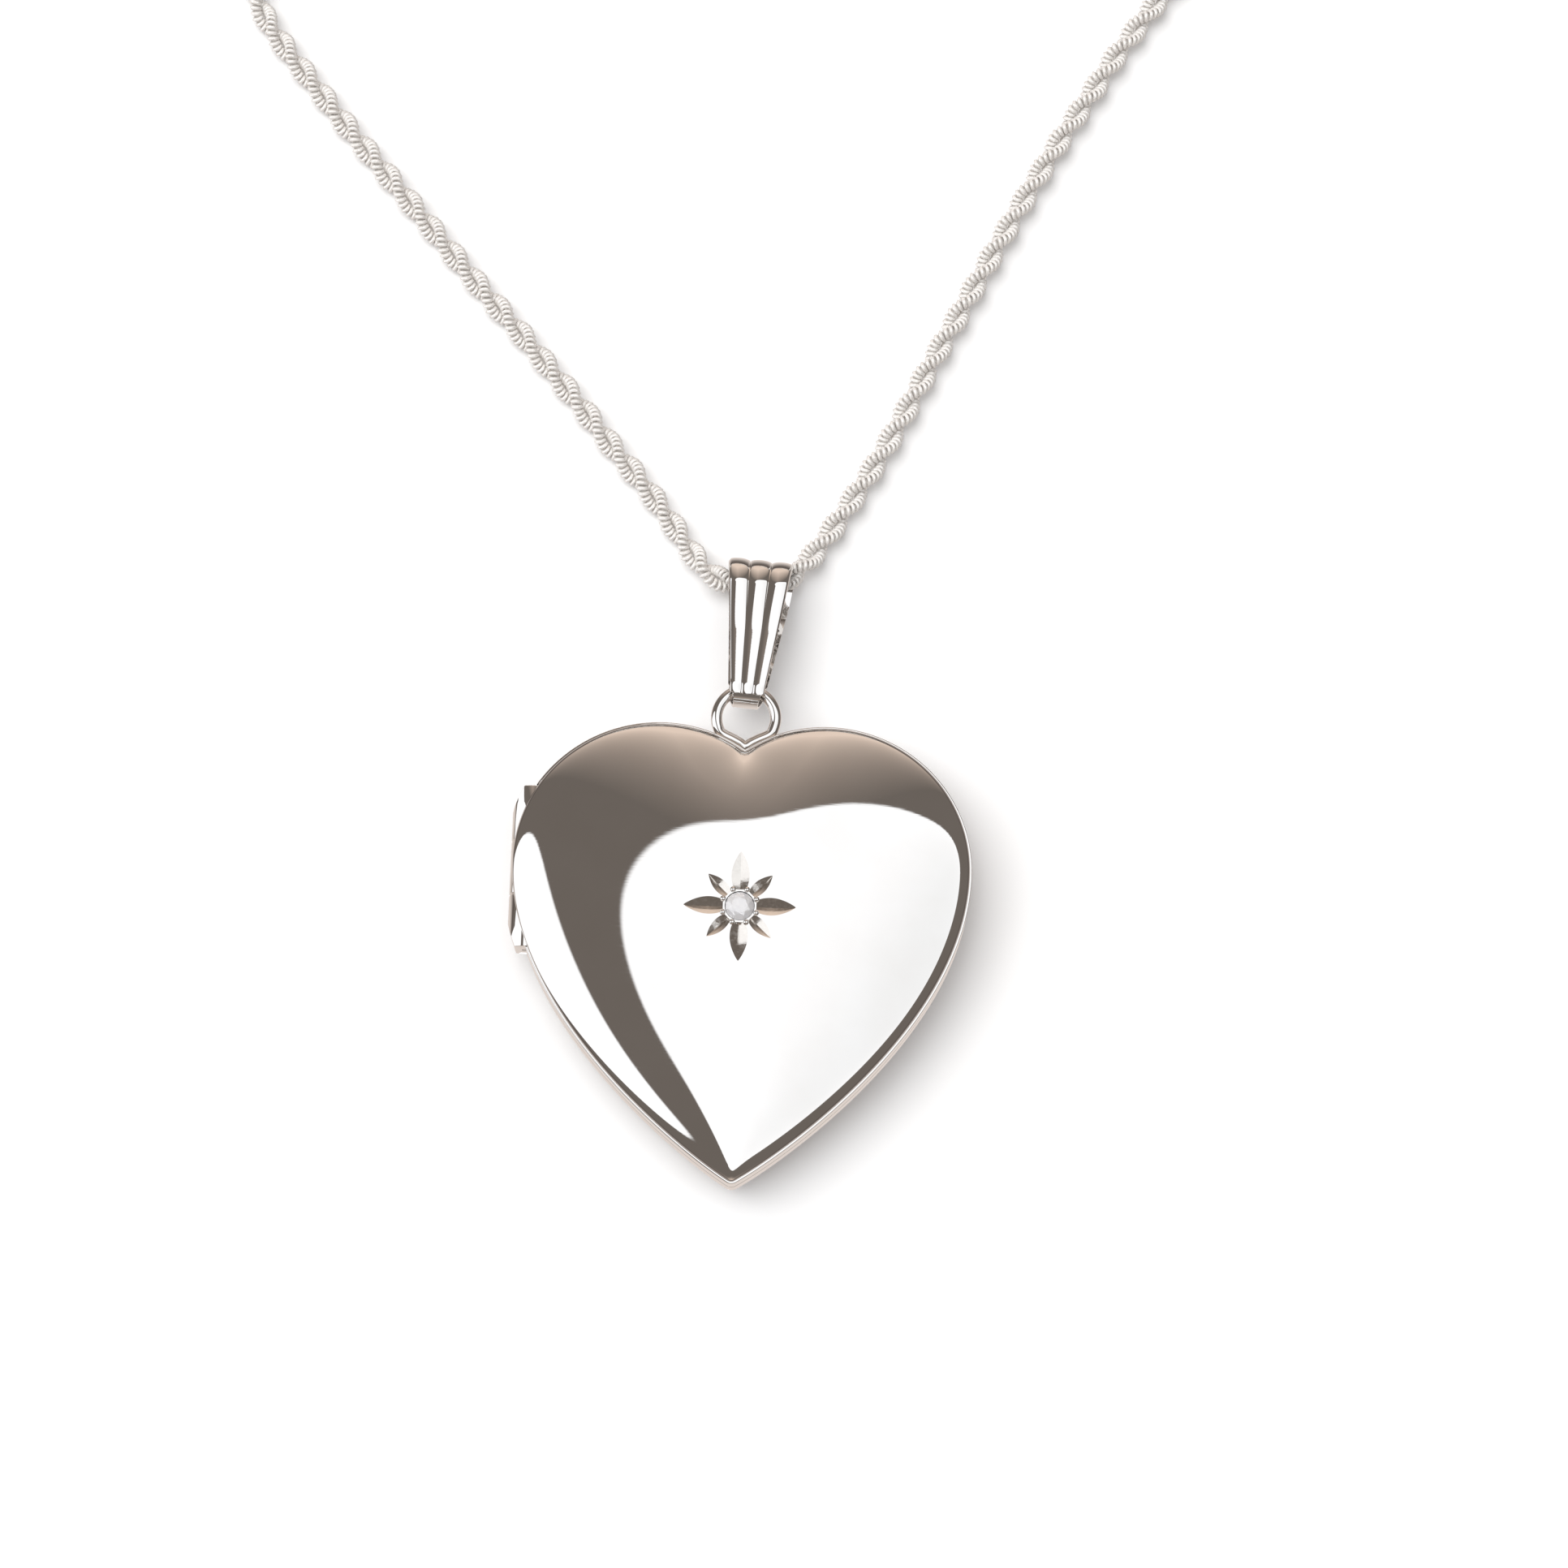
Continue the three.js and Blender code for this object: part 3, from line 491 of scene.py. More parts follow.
def close_tree(tree, copies, metal):
    """Makes the copies real and smooth, and gives them their metal."""
    real = add_node(tree, "GeometryNodeRealizeInstances", Geometry=copies.outputs[0])
    smooth = add_node(tree, "GeometryNodeSetShadeSmooth", Geometry=real.outputs[0])
    finished = add_node(tree, "GeometryNodeSetMaterial", Geometry=smooth.outputs[0], Material=metal)
    tree.links.new(finished.outputs[0], tree.nodes.new("NodeGroupOutput").inputs[0])


def rope_tree():
    """Two strands of small rings twisted round a line."""
    tree, sockets, size = open_tree("rope_chain", ROPE)

    def scaled(vector, by):
        return vector_sum(tree, "SCALE", vector, scale=by)

    line = add_node(tree, "GeometryNodeMeshToCurve", Mesh=size["Geometry"])
    level = add_node(tree, "GeometryNodeSetCurveNormal", {"mode": "Z_UP"}, Curve=line.outputs[0])
    walk = add_node(tree, "GeometryNodeCurveToPoints", {"mode": "LENGTH"},
                    Curve=level.outputs[0], Length=size["Ring spacing"])
    index = add_node(tree, "GeometryNodeInputIndex").outputs[0]
    strand = sum_of(tree, "MULTIPLY", sum_of(tree, "MODULO", index, 2.0), math.pi)
    along = sum_of(tree, "MULTIPLY", index, size["Ring spacing"])
    turns = sum_of(tree, "DIVIDE", along, size["Twist length"])
    angle = sum_of(tree, "ADD", sum_of(tree, "MULTIPLY", turns, 2 * math.pi), strand)
    cosine, sine = sum_of(tree, "COSINE", angle), sum_of(tree, "SINE", angle)
    ahead, out = walk.outputs["Tangent"], walk.outputs["Normal"]
    across = vector_sum(tree, "CROSS_PRODUCT", ahead, out)
    radial = vector_sum(tree, "ADD", scaled(out, cosine), scaled(across, sine))
    sideways = vector_sum(tree, "SUBTRACT", scaled(across, cosine), scaled(out, sine))
    moved = add_node(tree, "GeometryNodeSetPosition", Geometry=walk.outputs["Points"],
                     Offset=scaled(radial, size["Strand offset"]))
    facing = vector_sum(tree, "ADD", ahead, scaled(sideways, size["Ring lean"]))
    turned = add_node(tree, "FunctionNodeAlignRotationToVector", {"axis": "Z"}, Vector=facing)
    ring, wire = (add_node(tree, "GeometryNodeCurvePrimitiveCircle", {"mode": "RADIUS"},
                           Resolution=sides, Radius=size[radius])
                  for sides, radius in ((RING_SIDES, "Ring radius"), (WIRE_SIDES, "Wire radius")))
    link = add_node(tree, "GeometryNodeCurveToMesh", Curve=ring.outputs[0], Profile_Curve=wire.outputs[0])
    chance = add_node(tree, "FunctionNodeRandomValue", {"data_type": "FLOAT"})
    plug(tree, chance.inputs[2], sum_of(tree, "SUBTRACT", 1.0, size["Unevenness"]))
    plug(tree, chance.inputs[3], 1.0)
    plug(tree, next(s for s in chance.inputs if s.name == "Seed"), ROPE_SEED)
    links = add_node(tree, "GeometryNodeInstanceOnPoints", Points=moved.outputs[0],
                     Instance=link.outputs[0], Rotation=turned.outputs[0], Scale=chance.outputs[1])
    close_tree(tree, links, size["Material"])
    return tree, sockets


def grown(name, points, tree, sockets, sizes):
    """What a tree makes of a line through points in millimetres, as a plain mesh."""
    mesh = bpy.data.meshes.new(name)
    mesh.from_pydata((np.asarray(points) * MM).tolist(), [(k, k + 1) for k in range(len(points) - 1)], [])
    line = object_of(name, mesh)
    growth = line.modifiers.new("made", "NODES")
    growth.node_group = tree
    for label, value in sizes.items():
        growth[sockets[label]] = value
    return plain(line, name)


def rope_arm(name, route, tree, sockets):
    line = smooth_path(route, LINE_STEP)
    arm = wear(grown(name, line, tree, sockets, ROPE), "chain_gold")
    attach(arm, "chain_and_bail")
    return arm, line * MM


rope, rope_sockets = rope_tree()
left_arm, left_line = rope_arm(
    "rope_chain_left", LEFT_ROUTE + coil_route(LEFT_COIL_X, 1), rope, rope_sockets)
right_arm, right_line = rope_arm(
    "rope_chain_right", RIGHT_ROUTE + coil_route(RIGHT_COIL_X, -1), rope, rope_sockets)
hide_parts("chain_left", "chain_left_tail", "coil_left", "chain_saddle")
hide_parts("chain_right", "chain_right_tail", "coil_right")

# ---- Heart ----


def half_outline(inset, lobe_steps=64, side_steps=64, tip_steps=8):
    """The right half of the outline from the cleft to the tip, moved in by inset.

    Where it would pass the middle line it stays on it, so that every inset has as many points.
    """
    radius = LOBE_RADIUS - inset
    start = math.acos(-LOBE_CENTRE_X / radius)
    angle = start * (1 - np.arange(lobe_steps) / lobe_steps)
    lobe = np.stack([LOBE_CENTRE_X + radius * np.cos(angle), LOBE_CENTRE_Y + radius * np.sin(angle)], 1)
    tip_centre = TIP_Y + TIP_RADIUS
    lean = np.array([math.sin(TIP_HALF_ANGLE), math.cos(TIP_HALF_ANGLE)])
    touch = np.array([TIP_RADIUS * lean[1], tip_centre - TIP_RADIUS * lean[0]])
    a = np.array([HALF_WIDTH, LOBE_CENTRE_Y])
    b = a - [0, SIDE_HANDLE]
    c, d = touch + TIP_HANDLE * lean, touch
    t = np.linspace(0, 1, side_steps + 1)[:, None]
    side = (1 - t) ** 3 * a + 3 * (1 - t) ** 2 * t * b + 3 * (1 - t) * t * t * c + t ** 3 * d
    along = (1 - t) ** 2 * (b - a) + 2 * (1 - t) * t * (c - b) + t * t * (d - c)
    along /= np.linalg.norm(along, axis=1, keepdims=True)
    side = side + np.stack([along[:, 1], -along[:, 0]], 1) * inset
    turn = -TIP_HALF_ANGLE - np.arange(1, tip_steps + 1) / tip_steps * (math.pi / 2 - TIP_HALF_ANGLE)
    tip = np.stack([(TIP_RADIUS - inset) * np.cos(turn),
                    tip_centre + (TIP_RADIUS - inset) * np.sin(turn)], 1)
    half = np.vstack([lobe, side, tip])
    half[0, 0] = 0
    past = np.nonzero(half[1:, 0] < 1e-6)[0]
    if len(past):
        k = past[0] + 1
        share = half[k - 1, 0] / (half[k - 1, 0] - half[k, 0])
        half[k:] = [0, half[k - 1, 1] + share * (half[k, 1] - half[k - 1, 1])]
    return half


def outline(inset):
    """The whole outline, clockwise from the cleft."""
    half = half_outline(inset)
    left = half[1:-1][::-1] * [-1, 1]
    return np.vstack([half, left])


def outline_ring(inset, z):
    points = outline(inset)
    return np.column_stack([points, np.full(len(points), z)])


def swept(name, profile, **more):
    """A band round the heart from a closed profile of insets and heights."""
    return skin(name, [outline_ring(inset, z) for inset, z in profile], wrap_rings=True, **more)


def rounded(corners, radius, steps=4):
    """A closed profile with its corners rounded."""
    corners = [np.array(c, float) for c in corners]
    made = []
    for before, corner, after in zip(corners[-1:] + corners[:-1], corners, corners[1:] + corners[:1]):
        way_in = (before - corner) / np.linalg.norm(before - corner)
        way_out = (after - corner) / np.linalg.norm(after - corner)
        for k in range(steps + 1):
            t = k / steps
            a, b = corner + way_in * radius * (1 - t), corner + way_out * radius * t
            made.append(a + (b - a) * t)
    return made


def side_height(side, above):
    return SEAM_Z + side * above


DIRECTIONS = np.linspace(-math.pi, math.pi, 2048, endpoint=False)
MELT = 0.55  # how fast the heart's corners soften on the way to the crown


def reach(inset):
    """How far an outline lies from the crown in each direction from +Y, as waves round the crown."""
    half = half_outline(inset, 400, 400, 40) - [0, CROWN_Y]
    turn = np.arctan2(half[:, 0], half[:, 1])
    keep = np.concatenate([[True], np.diff(turn) > 1e-9])
    far = np.hypot(half[:, 0], half[:, 1])
    return np.fft.rfft(np.interp(np.abs(DIRECTIONS), turn[keep], far[keep]))


def dome_reach(direction, share, heart):
    """How far a level line of a dome lies from the crown: the heart outside, softening to an oval inside."""
    heartness = share * share * (3 - 2 * share)
    oval = 1 / np.hypot(np.sin(direction) / CROWN_HALF_WIDTH, np.cos(direction) / CROWN_HALF_LENGTH)
    soft = np.exp(-0.5 * (np.arange(len(heart)) * MELT * (1 - share)) ** 2)
    lobed = np.interp(direction, DIRECTIONS, np.fft.irfft(heart * soft), period=2 * math.pi)
    return share * (lobed * heartness + oval * (1 - heartness))


def dome_share(share, flat):
    past = np.clip((share - flat) / (1 - flat), 0, 1)
    return (1 - past ** CROWN_POWER) ** EDGE_POWER


def dome_rings(directions, shares, inset, rise, flat, side, foot):
    edge = outline(inset) - [0, CROWN_Y]
    heart = reach(inset)
    rings = []
    for share in shares:
        far = dome_reach(directions, share, heart)
        if share == 1:
            directions, far = np.arctan2(edge[:, 0], edge[:, 1]), np.hypot(edge[:, 0], edge[:, 1])
        z = side_height(side, foot + rise * dome_share(share, flat))
        rings.append(np.column_stack([np.sin(directions) * far, CROWN_Y + np.cos(directions) * far,
                                      np.full(len(directions), z)]))
    return rings


def surface_height(x, y):
    """The height of the front cover's outside at a point near its crown."""
    direction, far = math.atan2(x, y - CROWN_Y), math.hypot(x, y - CROWN_Y)
    heart = reach(COVER_INSET)
    low, high = 0.0, 1.0
    for _ in range(30):
        middle = (low + high) / 2
        low, high = (low, middle) if dome_reach(direction, middle, heart) > far else (middle, high)
    return side_height(1, COVER_FOOT + DOME_RISE * float(dome_share(low, 0)))


def cover(name, side):
    """A puffed cover: its outside, its foot and its inside in one skin."""
    flat = 0 if side > 0 else BACK_FLAT
    edge = outline(COVER_INSET) - [0, CROWN_Y]
    directions = np.arctan2(edge[:, 0], edge[:, 1])
    t = np.linspace(0, 1, 57)
    outer = 1 - (1 - t) ** 2.2
    inner = (1 - (1 - t[::2]) ** 2.0)[::-1]
    rings = dome_rings(directions, outer, COVER_INSET, DOME_RISE, flat, side, COVER_FOOT)
    rings += dome_rings(directions, inner, COVER_INSET + COVER_WALL, DOME_RISE - COVER_WALL, flat, side,
                        COVER_FOOT)
    return skin(name, rings, crease=50)


# ---- Star setting ----

PETAL_COUNT = 8
LONG_PETAL = (0.72, 2.42, 0.39)  # start, end and half width
SHORT_PETAL = (0.72, 1.95, 0.28)
PETAL_SLOPE = 0.62  # depth of a petal's groove for its half width
SHALLOW_SLOPE = 0.36  # the petal that points to the cleft is cut less deep
PETAL_STEPS = 22
BLUNT_START = 0.22  # how far along its swelling a petal begins
CUT_ABOVE = 0.12  # how far the cutter stands above the cover
SEAT_GAP = 0.02
CULET_ROOM = 0.31
GRAINS = {"Circle radius": 0.775 * MM, "Grain radius": 0.13 * MM, "Count": PETAL_COUNT,
          "Centre": (0.0, CROWN_Y * MM, (GIRDLE_Z + 0.05) * MM), "Material": FINISHES["polished_gold"]}


def petal_cutter(index):
    """A leaf-shaped wedge that points away from the stone and follows the cover's crown."""
    start, end, widest = LONG_PETAL if index % 2 == 0 else SHORT_PETAL
    slope = SHALLOW_SLOPE if index == 0 else PETAL_SLOPE
    turn = index * 2 * math.pi / PETAL_COUNT
    ahead = np.array([math.sin(turn), math.cos(turn)])
    across = np.array([ahead[1], -ahead[0]])
    rings = []
    for k in range(PETAL_STEPS + 1):
        t = k / PETAL_STEPS
        swelling = math.sin(math.pi * min(1, BLUNT_START + (1 - BLUNT_START) * t)) ** 0.85 if t < 1 else 0.0
        half = widest * swelling
        centre = ahead * (start + (end - start) * t)
        z = surface_height(centre[0], CROWN_Y + centre[1])
        deep, wide = half * slope, half + CUT_ABOVE / slope
        section = [(-wide, z + CUT_ABOVE), (0, z - deep), (wide, z + CUT_ABOVE)]
        rings.append([(*(centre + across * x + [0, CROWN_Y]), h) for x, h in section])
    return skin("petal", capped(rings))


def lathe(name, profile, steps=48, centre=(0, 0, 0), axis="Z", crease=35):
    """A turned shape from radii and heights, ended on its axis."""
    turn = np.linspace(0, 2 * math.pi, steps, endpoint=False)
    rings = []
    for r, h in profile:
        flat = {"Z": (r * np.cos(turn), r * np.sin(turn), np.full(steps, h)),
                "Y": (r * np.sin(turn), np.full(steps, h), r * np.cos(turn)),
                "X": (np.full(steps, h), r * np.cos(turn), r * np.sin(turn))}[axis]
        rings.append(np.stack(flat, 1) + centre)
    return skin(name, rings, crease=crease)


def stone_seat():
    bore = STONE_RADIUS + SEAT_GAP
    profile = [(0, -0.9), (CULET_ROOM, -0.9), (CULET_ROOM, -0.3), (bore, -0.06), (bore, 0.4), (0, 0.4)]
    return lathe("seat", profile, 48, (0, CROWN_Y, GIRDLE_Z))


def brilliant():
    """A round brilliant: table, star, kite and girdle facets above, mains below."""
    table, kite = 0.56 * STONE_RADIUS, 0.8 * STONE_RADIUS
    levels = [(table, 0.2, 8, 0), (kite, 0.125, 8, 0.5), (STONE_RADIUS, 0.0, 16, 0.5),
              (STONE_RADIUS, -0.04, 16, 0.5), (0.5 * STONE_RADIUS, -0.3, 8, 0.5), (0.001, -0.56, 4, 0)]
    shape = bmesh.new()
    for radius, z, count, phase in levels:
        for k in range(count):
            turn = 2 * math.pi * (k + phase) / count
            place = Vector((radius * math.cos(turn), CROWN_Y + radius * math.sin(turn), GIRDLE_Z + z))
            shape.verts.new(place * MM)
    bmesh.ops.convex_hull(shape, input=shape.verts)
    mesh = bpy.data.meshes.new("star_brilliant")
    shape.to_mesh(mesh)
    shape.free()
    return object_of("star_brilliant", tidy(mesh, 1))


def grain_tree():
    """Grains set evenly round a stone, half sunk in the metal."""
    tree, sockets, size = open_tree("bead_grains", GRAINS)
    circle = add_node(tree, "GeometryNodeMeshCircle", Vertices=size["Count"], Radius=size["Circle radius"])
    turned = add_node(tree, "GeometryNodeTransform", Geometry=circle.outputs[0],
                      Translation=size["Centre"], Rotation=(0, 0, math.pi / PETAL_COUNT))
    ball = add_node(tree, "GeometryNodeMeshIcoSphere", Radius=size["Grain radius"], Subdivisions=3)
    grains = add_node(tree, "GeometryNodeInstanceOnPoints", Points=turned.outputs[0],
                      Instance=ball.outputs["Mesh"])
    close_tree(tree, grains, size["Material"])
    return tree, sockets


def engrave(made):
    """Finds the petals' faces in the cover by their slope near the crown, and gives them the cut finish."""
    lowest, nearest, furthest, flattest = 4.3, 0.6, 2.6, 0.97
    for face in made.data.polygons:
        x, y, z = (v / MM for v in face.center)
        far = math.hypot(x, y - CROWN_Y)
        if z > lowest and nearest < far < furthest and abs(face.normal.z) < flattest:
            face.material_index = 1


front_cover = cover("front_cover_puff", 1)
front_cover = carve(front_cover, [petal_cutter(k) for k in range(PETAL_COUNT)] + [stone_seat()], crease=18)
wear(front_cover, "polished_gold", "cut_gold")
engrave(front_cover)
back_cover = wear(cover("back_cover_puff", -1), "polished_gold")
stone = wear(brilliant(), "diamond")
grains = wear(grown("star_bead_grains", [(0, 0, 0), (0, 0, 1)], *grain_tree(), GRAINS), "polished_gold")

# ---- Rims ----

NOTCH_Y = 3.1
NOTCH_HALF = (0.22, 0.375, 0.15)
RIM_ROUND = 0.045
FRAME_GAP = 0.04
FRAME_WIDTH = 0.7
FRAME_LEVELS = (0.23, 0.43)
FRAME_ROUND = 0.07


def block(name, low, high):
    corners = [[(x, y, z) for x, y in ((low[0], low[1]), (high[0], low[1]), (high[0], high[1]),
                                       (low[0], high[1]))] for z in (low[2], high[2])]
    return skin(name, capped(corners))


def hinge_room():
    """What the hinge takes out of both rims."""
    inner = HINGE_X + KNUCKLE_RADIUS + HINGE_GAP
    half = HINGE_LENGTH / 2 + HINGE_GAP
    return block("hinge_room", (inner - HALF_WIDTH, HINGE_Y - half, SEAM_Z - COVER_FOOT),
                 (inner, HINGE_Y + half, SEAM_Z + COVER_FOOT))


def thumb_notch():
    profile = [(math.sin(t), -math.cos(t)) for t in np.linspace(0, math.pi, 17)]
    lens = lathe("notch", profile, 32)
    centre = Vector((HALF_WIDTH, NOTCH_Y, SEAM_Z + RIM_HEIGHT / 2)) * MM
    lens.data.transform(Matrix.Translation(centre) @ Matrix.Diagonal((*NOTCH_HALF, 1)))
    return lens


def rim(name, side):
    low, high = SEAM_GAP / 2, RIM_HEIGHT
    inner = RIM_WALL if side > 0 else LIP_IN
    corners = [(0, low), (0, high), (LEDGE_REACH, high), (LEDGE_REACH, high - LEDGE_WALL),
               (inner, high - LEDGE_WALL), (inner, low)]
    if side < 0:
        corners[-1:] = [(LIP_IN, -LIP_HEIGHT), (LIP_OUT, -LIP_HEIGHT), (LIP_OUT, low)]
    profile = [(inset, side_height(side, z)) for inset, z in rounded(corners, RIM_ROUND)]
    made = swept(name, profile)
    tools = [hinge_room()] + ([thumb_notch()] if side > 0 else [])
    return wear(carve(made, tools), "polished_gold")


front_rim = rim("front_rim_band", 1)
back_rim = rim("back_rim_band", -1)

# ---- Pictures ----


def picture_frame(name, side):
    outside = (RIM_WALL if side > 0 else LIP_IN) + FRAME_GAP
    inside, (low, high) = outside + FRAME_WIDTH, FRAME_LEVELS
    corners = [(outside, low), (outside, high), (inside, high), (inside, low)]
    profile = [(inset, side_height(side, z)) for inset, z in rounded(corners, FRAME_ROUND)]
    return wear(carve(swept(name, profile), [hinge_room()]), "polished_gold")


front_frame = picture_frame("front_picture_frame", 1)
back_frame = picture_frame("back_picture_frame", -1)

# ---- Hinge ----


def knuckle(name, index):
    length = (HINGE_LENGTH - 2 * HINGE_GAP) / 3
    y = HINGE_Y + (index - 1) * (length + HINGE_GAP)
    half, edge, r, sides = length / 2, 0.05, KNUCKLE_RADIUS, 96
    bore = PIN_RADIUS + 0.02
    profile = [(bore, -half), (r - edge, -half), (r - 0.3 * edge, -half + 0.3 * edge), (r, -half + edge),
               (r, half - edge), (r - 0.3 * edge, half - 0.3 * edge), (r - edge, half), (bore, half)]
    turn = np.linspace(0, 2 * math.pi, sides, endpoint=False)
    rings = [np.column_stack([HINGE_X + a * np.sin(turn), np.full(sides, y + h), SEAM_Z + a * np.cos(turn)])
             for a, h in profile]
    rod = skin(name, rings, wrap_rings=True)
    ends = [outline_ring(-KNUCKLE_PROUD, z) for z in (0.5, 4.5)]
    middle = [[np.array([0, 0, z])] * len(ends[0]) for z in (0.5, 4.5)]
    filed = skin("filed", [middle[0], ends[0], ends[1], middle[1]])
    made = carve(rod, [filed], "INTERSECT")
    return wear(soften(made, 0.03, 2, 40), "polished_gold")


knuckles = [knuckle("hinge_barrel_" + place, k) for k, place in enumerate(("lower", "middle", "upper"))]

# ---- Hanging ring and bail ----


def tube(name, points, radius, sides=20, closed=True):
    """A round wire along points that lie in a plane."""
    points = np.asarray(points, float)
    if closed:
        ahead = np.roll(points, -1, 0) - np.roll(points, 1, 0)
    else:
        ahead = np.gradient(points, axis=0)
    ahead /= np.linalg.norm(ahead, axis=1, keepdims=True)
    normal = np.linalg.svd(points - points.mean(0))[2][2]
    across = np.cross(ahead, normal)
    across /= np.linalg.norm(across, axis=1, keepdims=True)
    turn = np.linspace(0, 2 * math.pi, sides, endpoint=False)
    radii = np.broadcast_to(radius, len(points))
    rings = [p + r * (np.outer(np.cos(turn), a) + np.outer(np.sin(turn), normal))
             for p, a, r in zip(points, across, radii)]
    if not closed:
        rings = [[points[0]] * sides] + rings + [[points[-1]] * sides]
    return skin(name, rings, wrap_rings=closed)


def hanging_ring():
    """Round above, and drawn to a blunt point that lies in the cleft."""
    nest = lambda x: (x, LOBE_CENTRE_Y + math.sqrt(RING_NEST ** 2 - (abs(x) - LOBE_CENTRE_X) ** 2), SEAM_Z)
    points = [nest(-0.52), nest(-0.26), nest(0), nest(0.26), nest(0.52)]
    for k in range(21):
        turn = math.radians(-32) + k / 20 * math.radians(244)
        points.append((RING_RADIUS * math.cos(turn), RING_CENTRE_Y + RING_RADIUS * math.sin(turn), SEAM_Z))
    path = smooth_path(points + points[:1], 0.08)
    return wear(tube("hanging_ring_wire", path[:-1], RING_WIRE), "polished_gold")


BAIL_LENGTH = 4.85
BAIL_TILT = math.asin((1.49 - SEAM_Z) / BAIL_LENGTH)
BAIL_LEAN = math.radians(-3.6)
BAIL_TURN = math.radians(3)
BAIL_SKEW = 0.15  # how far the back leaf lies to the right of the front one at the head
BAIL_WALL = 0.13
FOOT_RADIUS = 0.7
FOOT_HALF = 0.8
LEAF_END = math.radians(128)  # where the front leaf ends on the fold round the ring
HEAD_RADIUS = 1.22
HEAD_HALF = 1.47
FLUTE_COUNT = 3
FLUTE_DEPTH = 0.12
FLUTE_START = 2.4  # from here up the front leaf's flutes deepen


def belt():
    """The inner line of the folded strip seen from its side: places, outward directions and parts."""
    slope = math.asin((HEAD_RADIUS - FOOT_RADIUS) / BAIL_LENGTH)
    stations = []
    top, low = math.pi / 2 + slope, -math.pi / 2 - slope

    def arc(centre, radius, start, end, steps, part):
        for k in range(steps + 1):
            a = start + (end - start) * k / steps
            n = np.array([math.cos(a), math.sin(a)])
            on_leaf = part == "foot" and a < LEAF_END
            stations.append((np.array([centre, 0.0]) + n * radius, n, "front" if on_leaf else part))

    def leaf(angle, centre, radius, shares, part):
        n = np.array([math.cos(angle), math.sin(angle)])
        first, last = stations[-1][0], np.array([centre, 0]) + radius * n
        for share in shares:
            stations.append((first + (last - first) * share, n, part))

    arc(0, FOOT_RADIUS, 2 * math.pi + low, top, 60, "foot")
    leaf(top, BAIL_LENGTH, HEAD_RADIUS, np.linspace(0.001, 0.985, 62), "front")
    arc(BAIL_LENGTH, HEAD_RADIUS, top, low, 48, "head")
    leaf(low, 0, FOOT_RADIUS, np.linspace(0.02, 0.98, 40), "back")
    return stations


def bail():
    """A strip folded round the ring and the chain, with flutes that widen to its head."""
    across = np.linspace(-1, 1, 61)
    phase = (across + 1) * FLUTE_COUNT / 2
    arch = 2 * (phase - np.floor(np.minimum(phase, FLUTE_COUNT - 0.001))) - 1
    flutes = np.clip(1 - arch ** 2, 0, 1) ** 0.6
    sides = np.clip((1 - np.abs(across)) / 0.06, 0, 1) ** 0.5
    rings = []
    for place, out, part in belt():
        up = place[0]
        if part == "foot":
            half, base, flute = FOOT_HALF + 0.36 * up, 0.08 + 0.05 * min(1, max(0, -up / 0.6)), 0.0
        else:
            half = FOOT_HALF + (HEAD_HALF - FOOT_HALF) * up / (BAIL_LENGTH + 1.2)
            base = BAIL_WALL
            fade = np.clip((up - 0.1) / 1.4, 0, 1)
            rise = np.clip((up - FLUTE_START) / (BAIL_LENGTH - FLUTE_START), 0, 1) ** 1.5
            flute = {"front": 0.05 + 0.07 * rise, "head": FLUTE_DEPTH, "back": FLUTE_DEPTH * fade}[part]
        if part == "back" and up < 0.6:
            half = min(half, FOOT_HALF)
        behind = {"foot": 0.0, "front": 0.0, "head": 0.5 - 0.5 * out[1], "back": 1.0}[part]
        thick = base * (0.55 + 0.45 * sides) + flute * flutes
        x = across * half + BAIL_SKEW * behind * max(0.0, up) / BAIL_LENGTH
        outside = place + np.outer(thick, out)
        inside = np.repeat(place[None], len(across), 0)
        rings.append(np.vstack([np.column_stack([x, outside]), np.column_stack([x, inside])[::-1]]))
    made = skin("fluted_bail", rings, wrap_rings=True, crease=28)
    made.data.transform(
        Matrix.Translation(Vector((0, WIRE_Y, SEAM_Z)) * MM) @ Matrix.Rotation(BAIL_TILT, 4, "X")
        @ Matrix.Rotation(BAIL_LEAN, 4, "Z") @ Matrix.Rotation(BAIL_TURN, 4, "Y"))
    return wear(made, "polished_gold")


ring_wire = hanging_ring()
bail_strip = bail()

# ---- End caps, jump rings and clasp ----

EYE_RADIUS, EYE_WIRE = 0.4, 0.14
CAP_EYE = 2.3  # from a cap's mouth to the middle of its eye
LINK_RADIUS, LINK_WIRE = 0.75, 0.13
CLASP_RADIUS = 2.2
CLASP_TUBE, CLASP_BORE = 0.55, 0.33
COLLAR = 0.03
SLOT_HALF, SLOT_REACH = 0.18, 1.1
SLIDE_WIRE = 0.27
MOUTH = 28  # degrees from +X to each end of the clasp's arc
KNOB = 44
TRIGGER_TRAVEL = 62


def circle(centre, radius, upright, steps=64):
    turn = np.linspace(0, 2 * math.pi, steps, endpoint=False)
    flat = (np.cos(turn), np.zeros(steps), np.sin(turn)) if upright else (
        np.cos(turn), np.sin(turn), np.zeros(steps))
    return np.array(centre) + radius * np.stack(flat, 1)


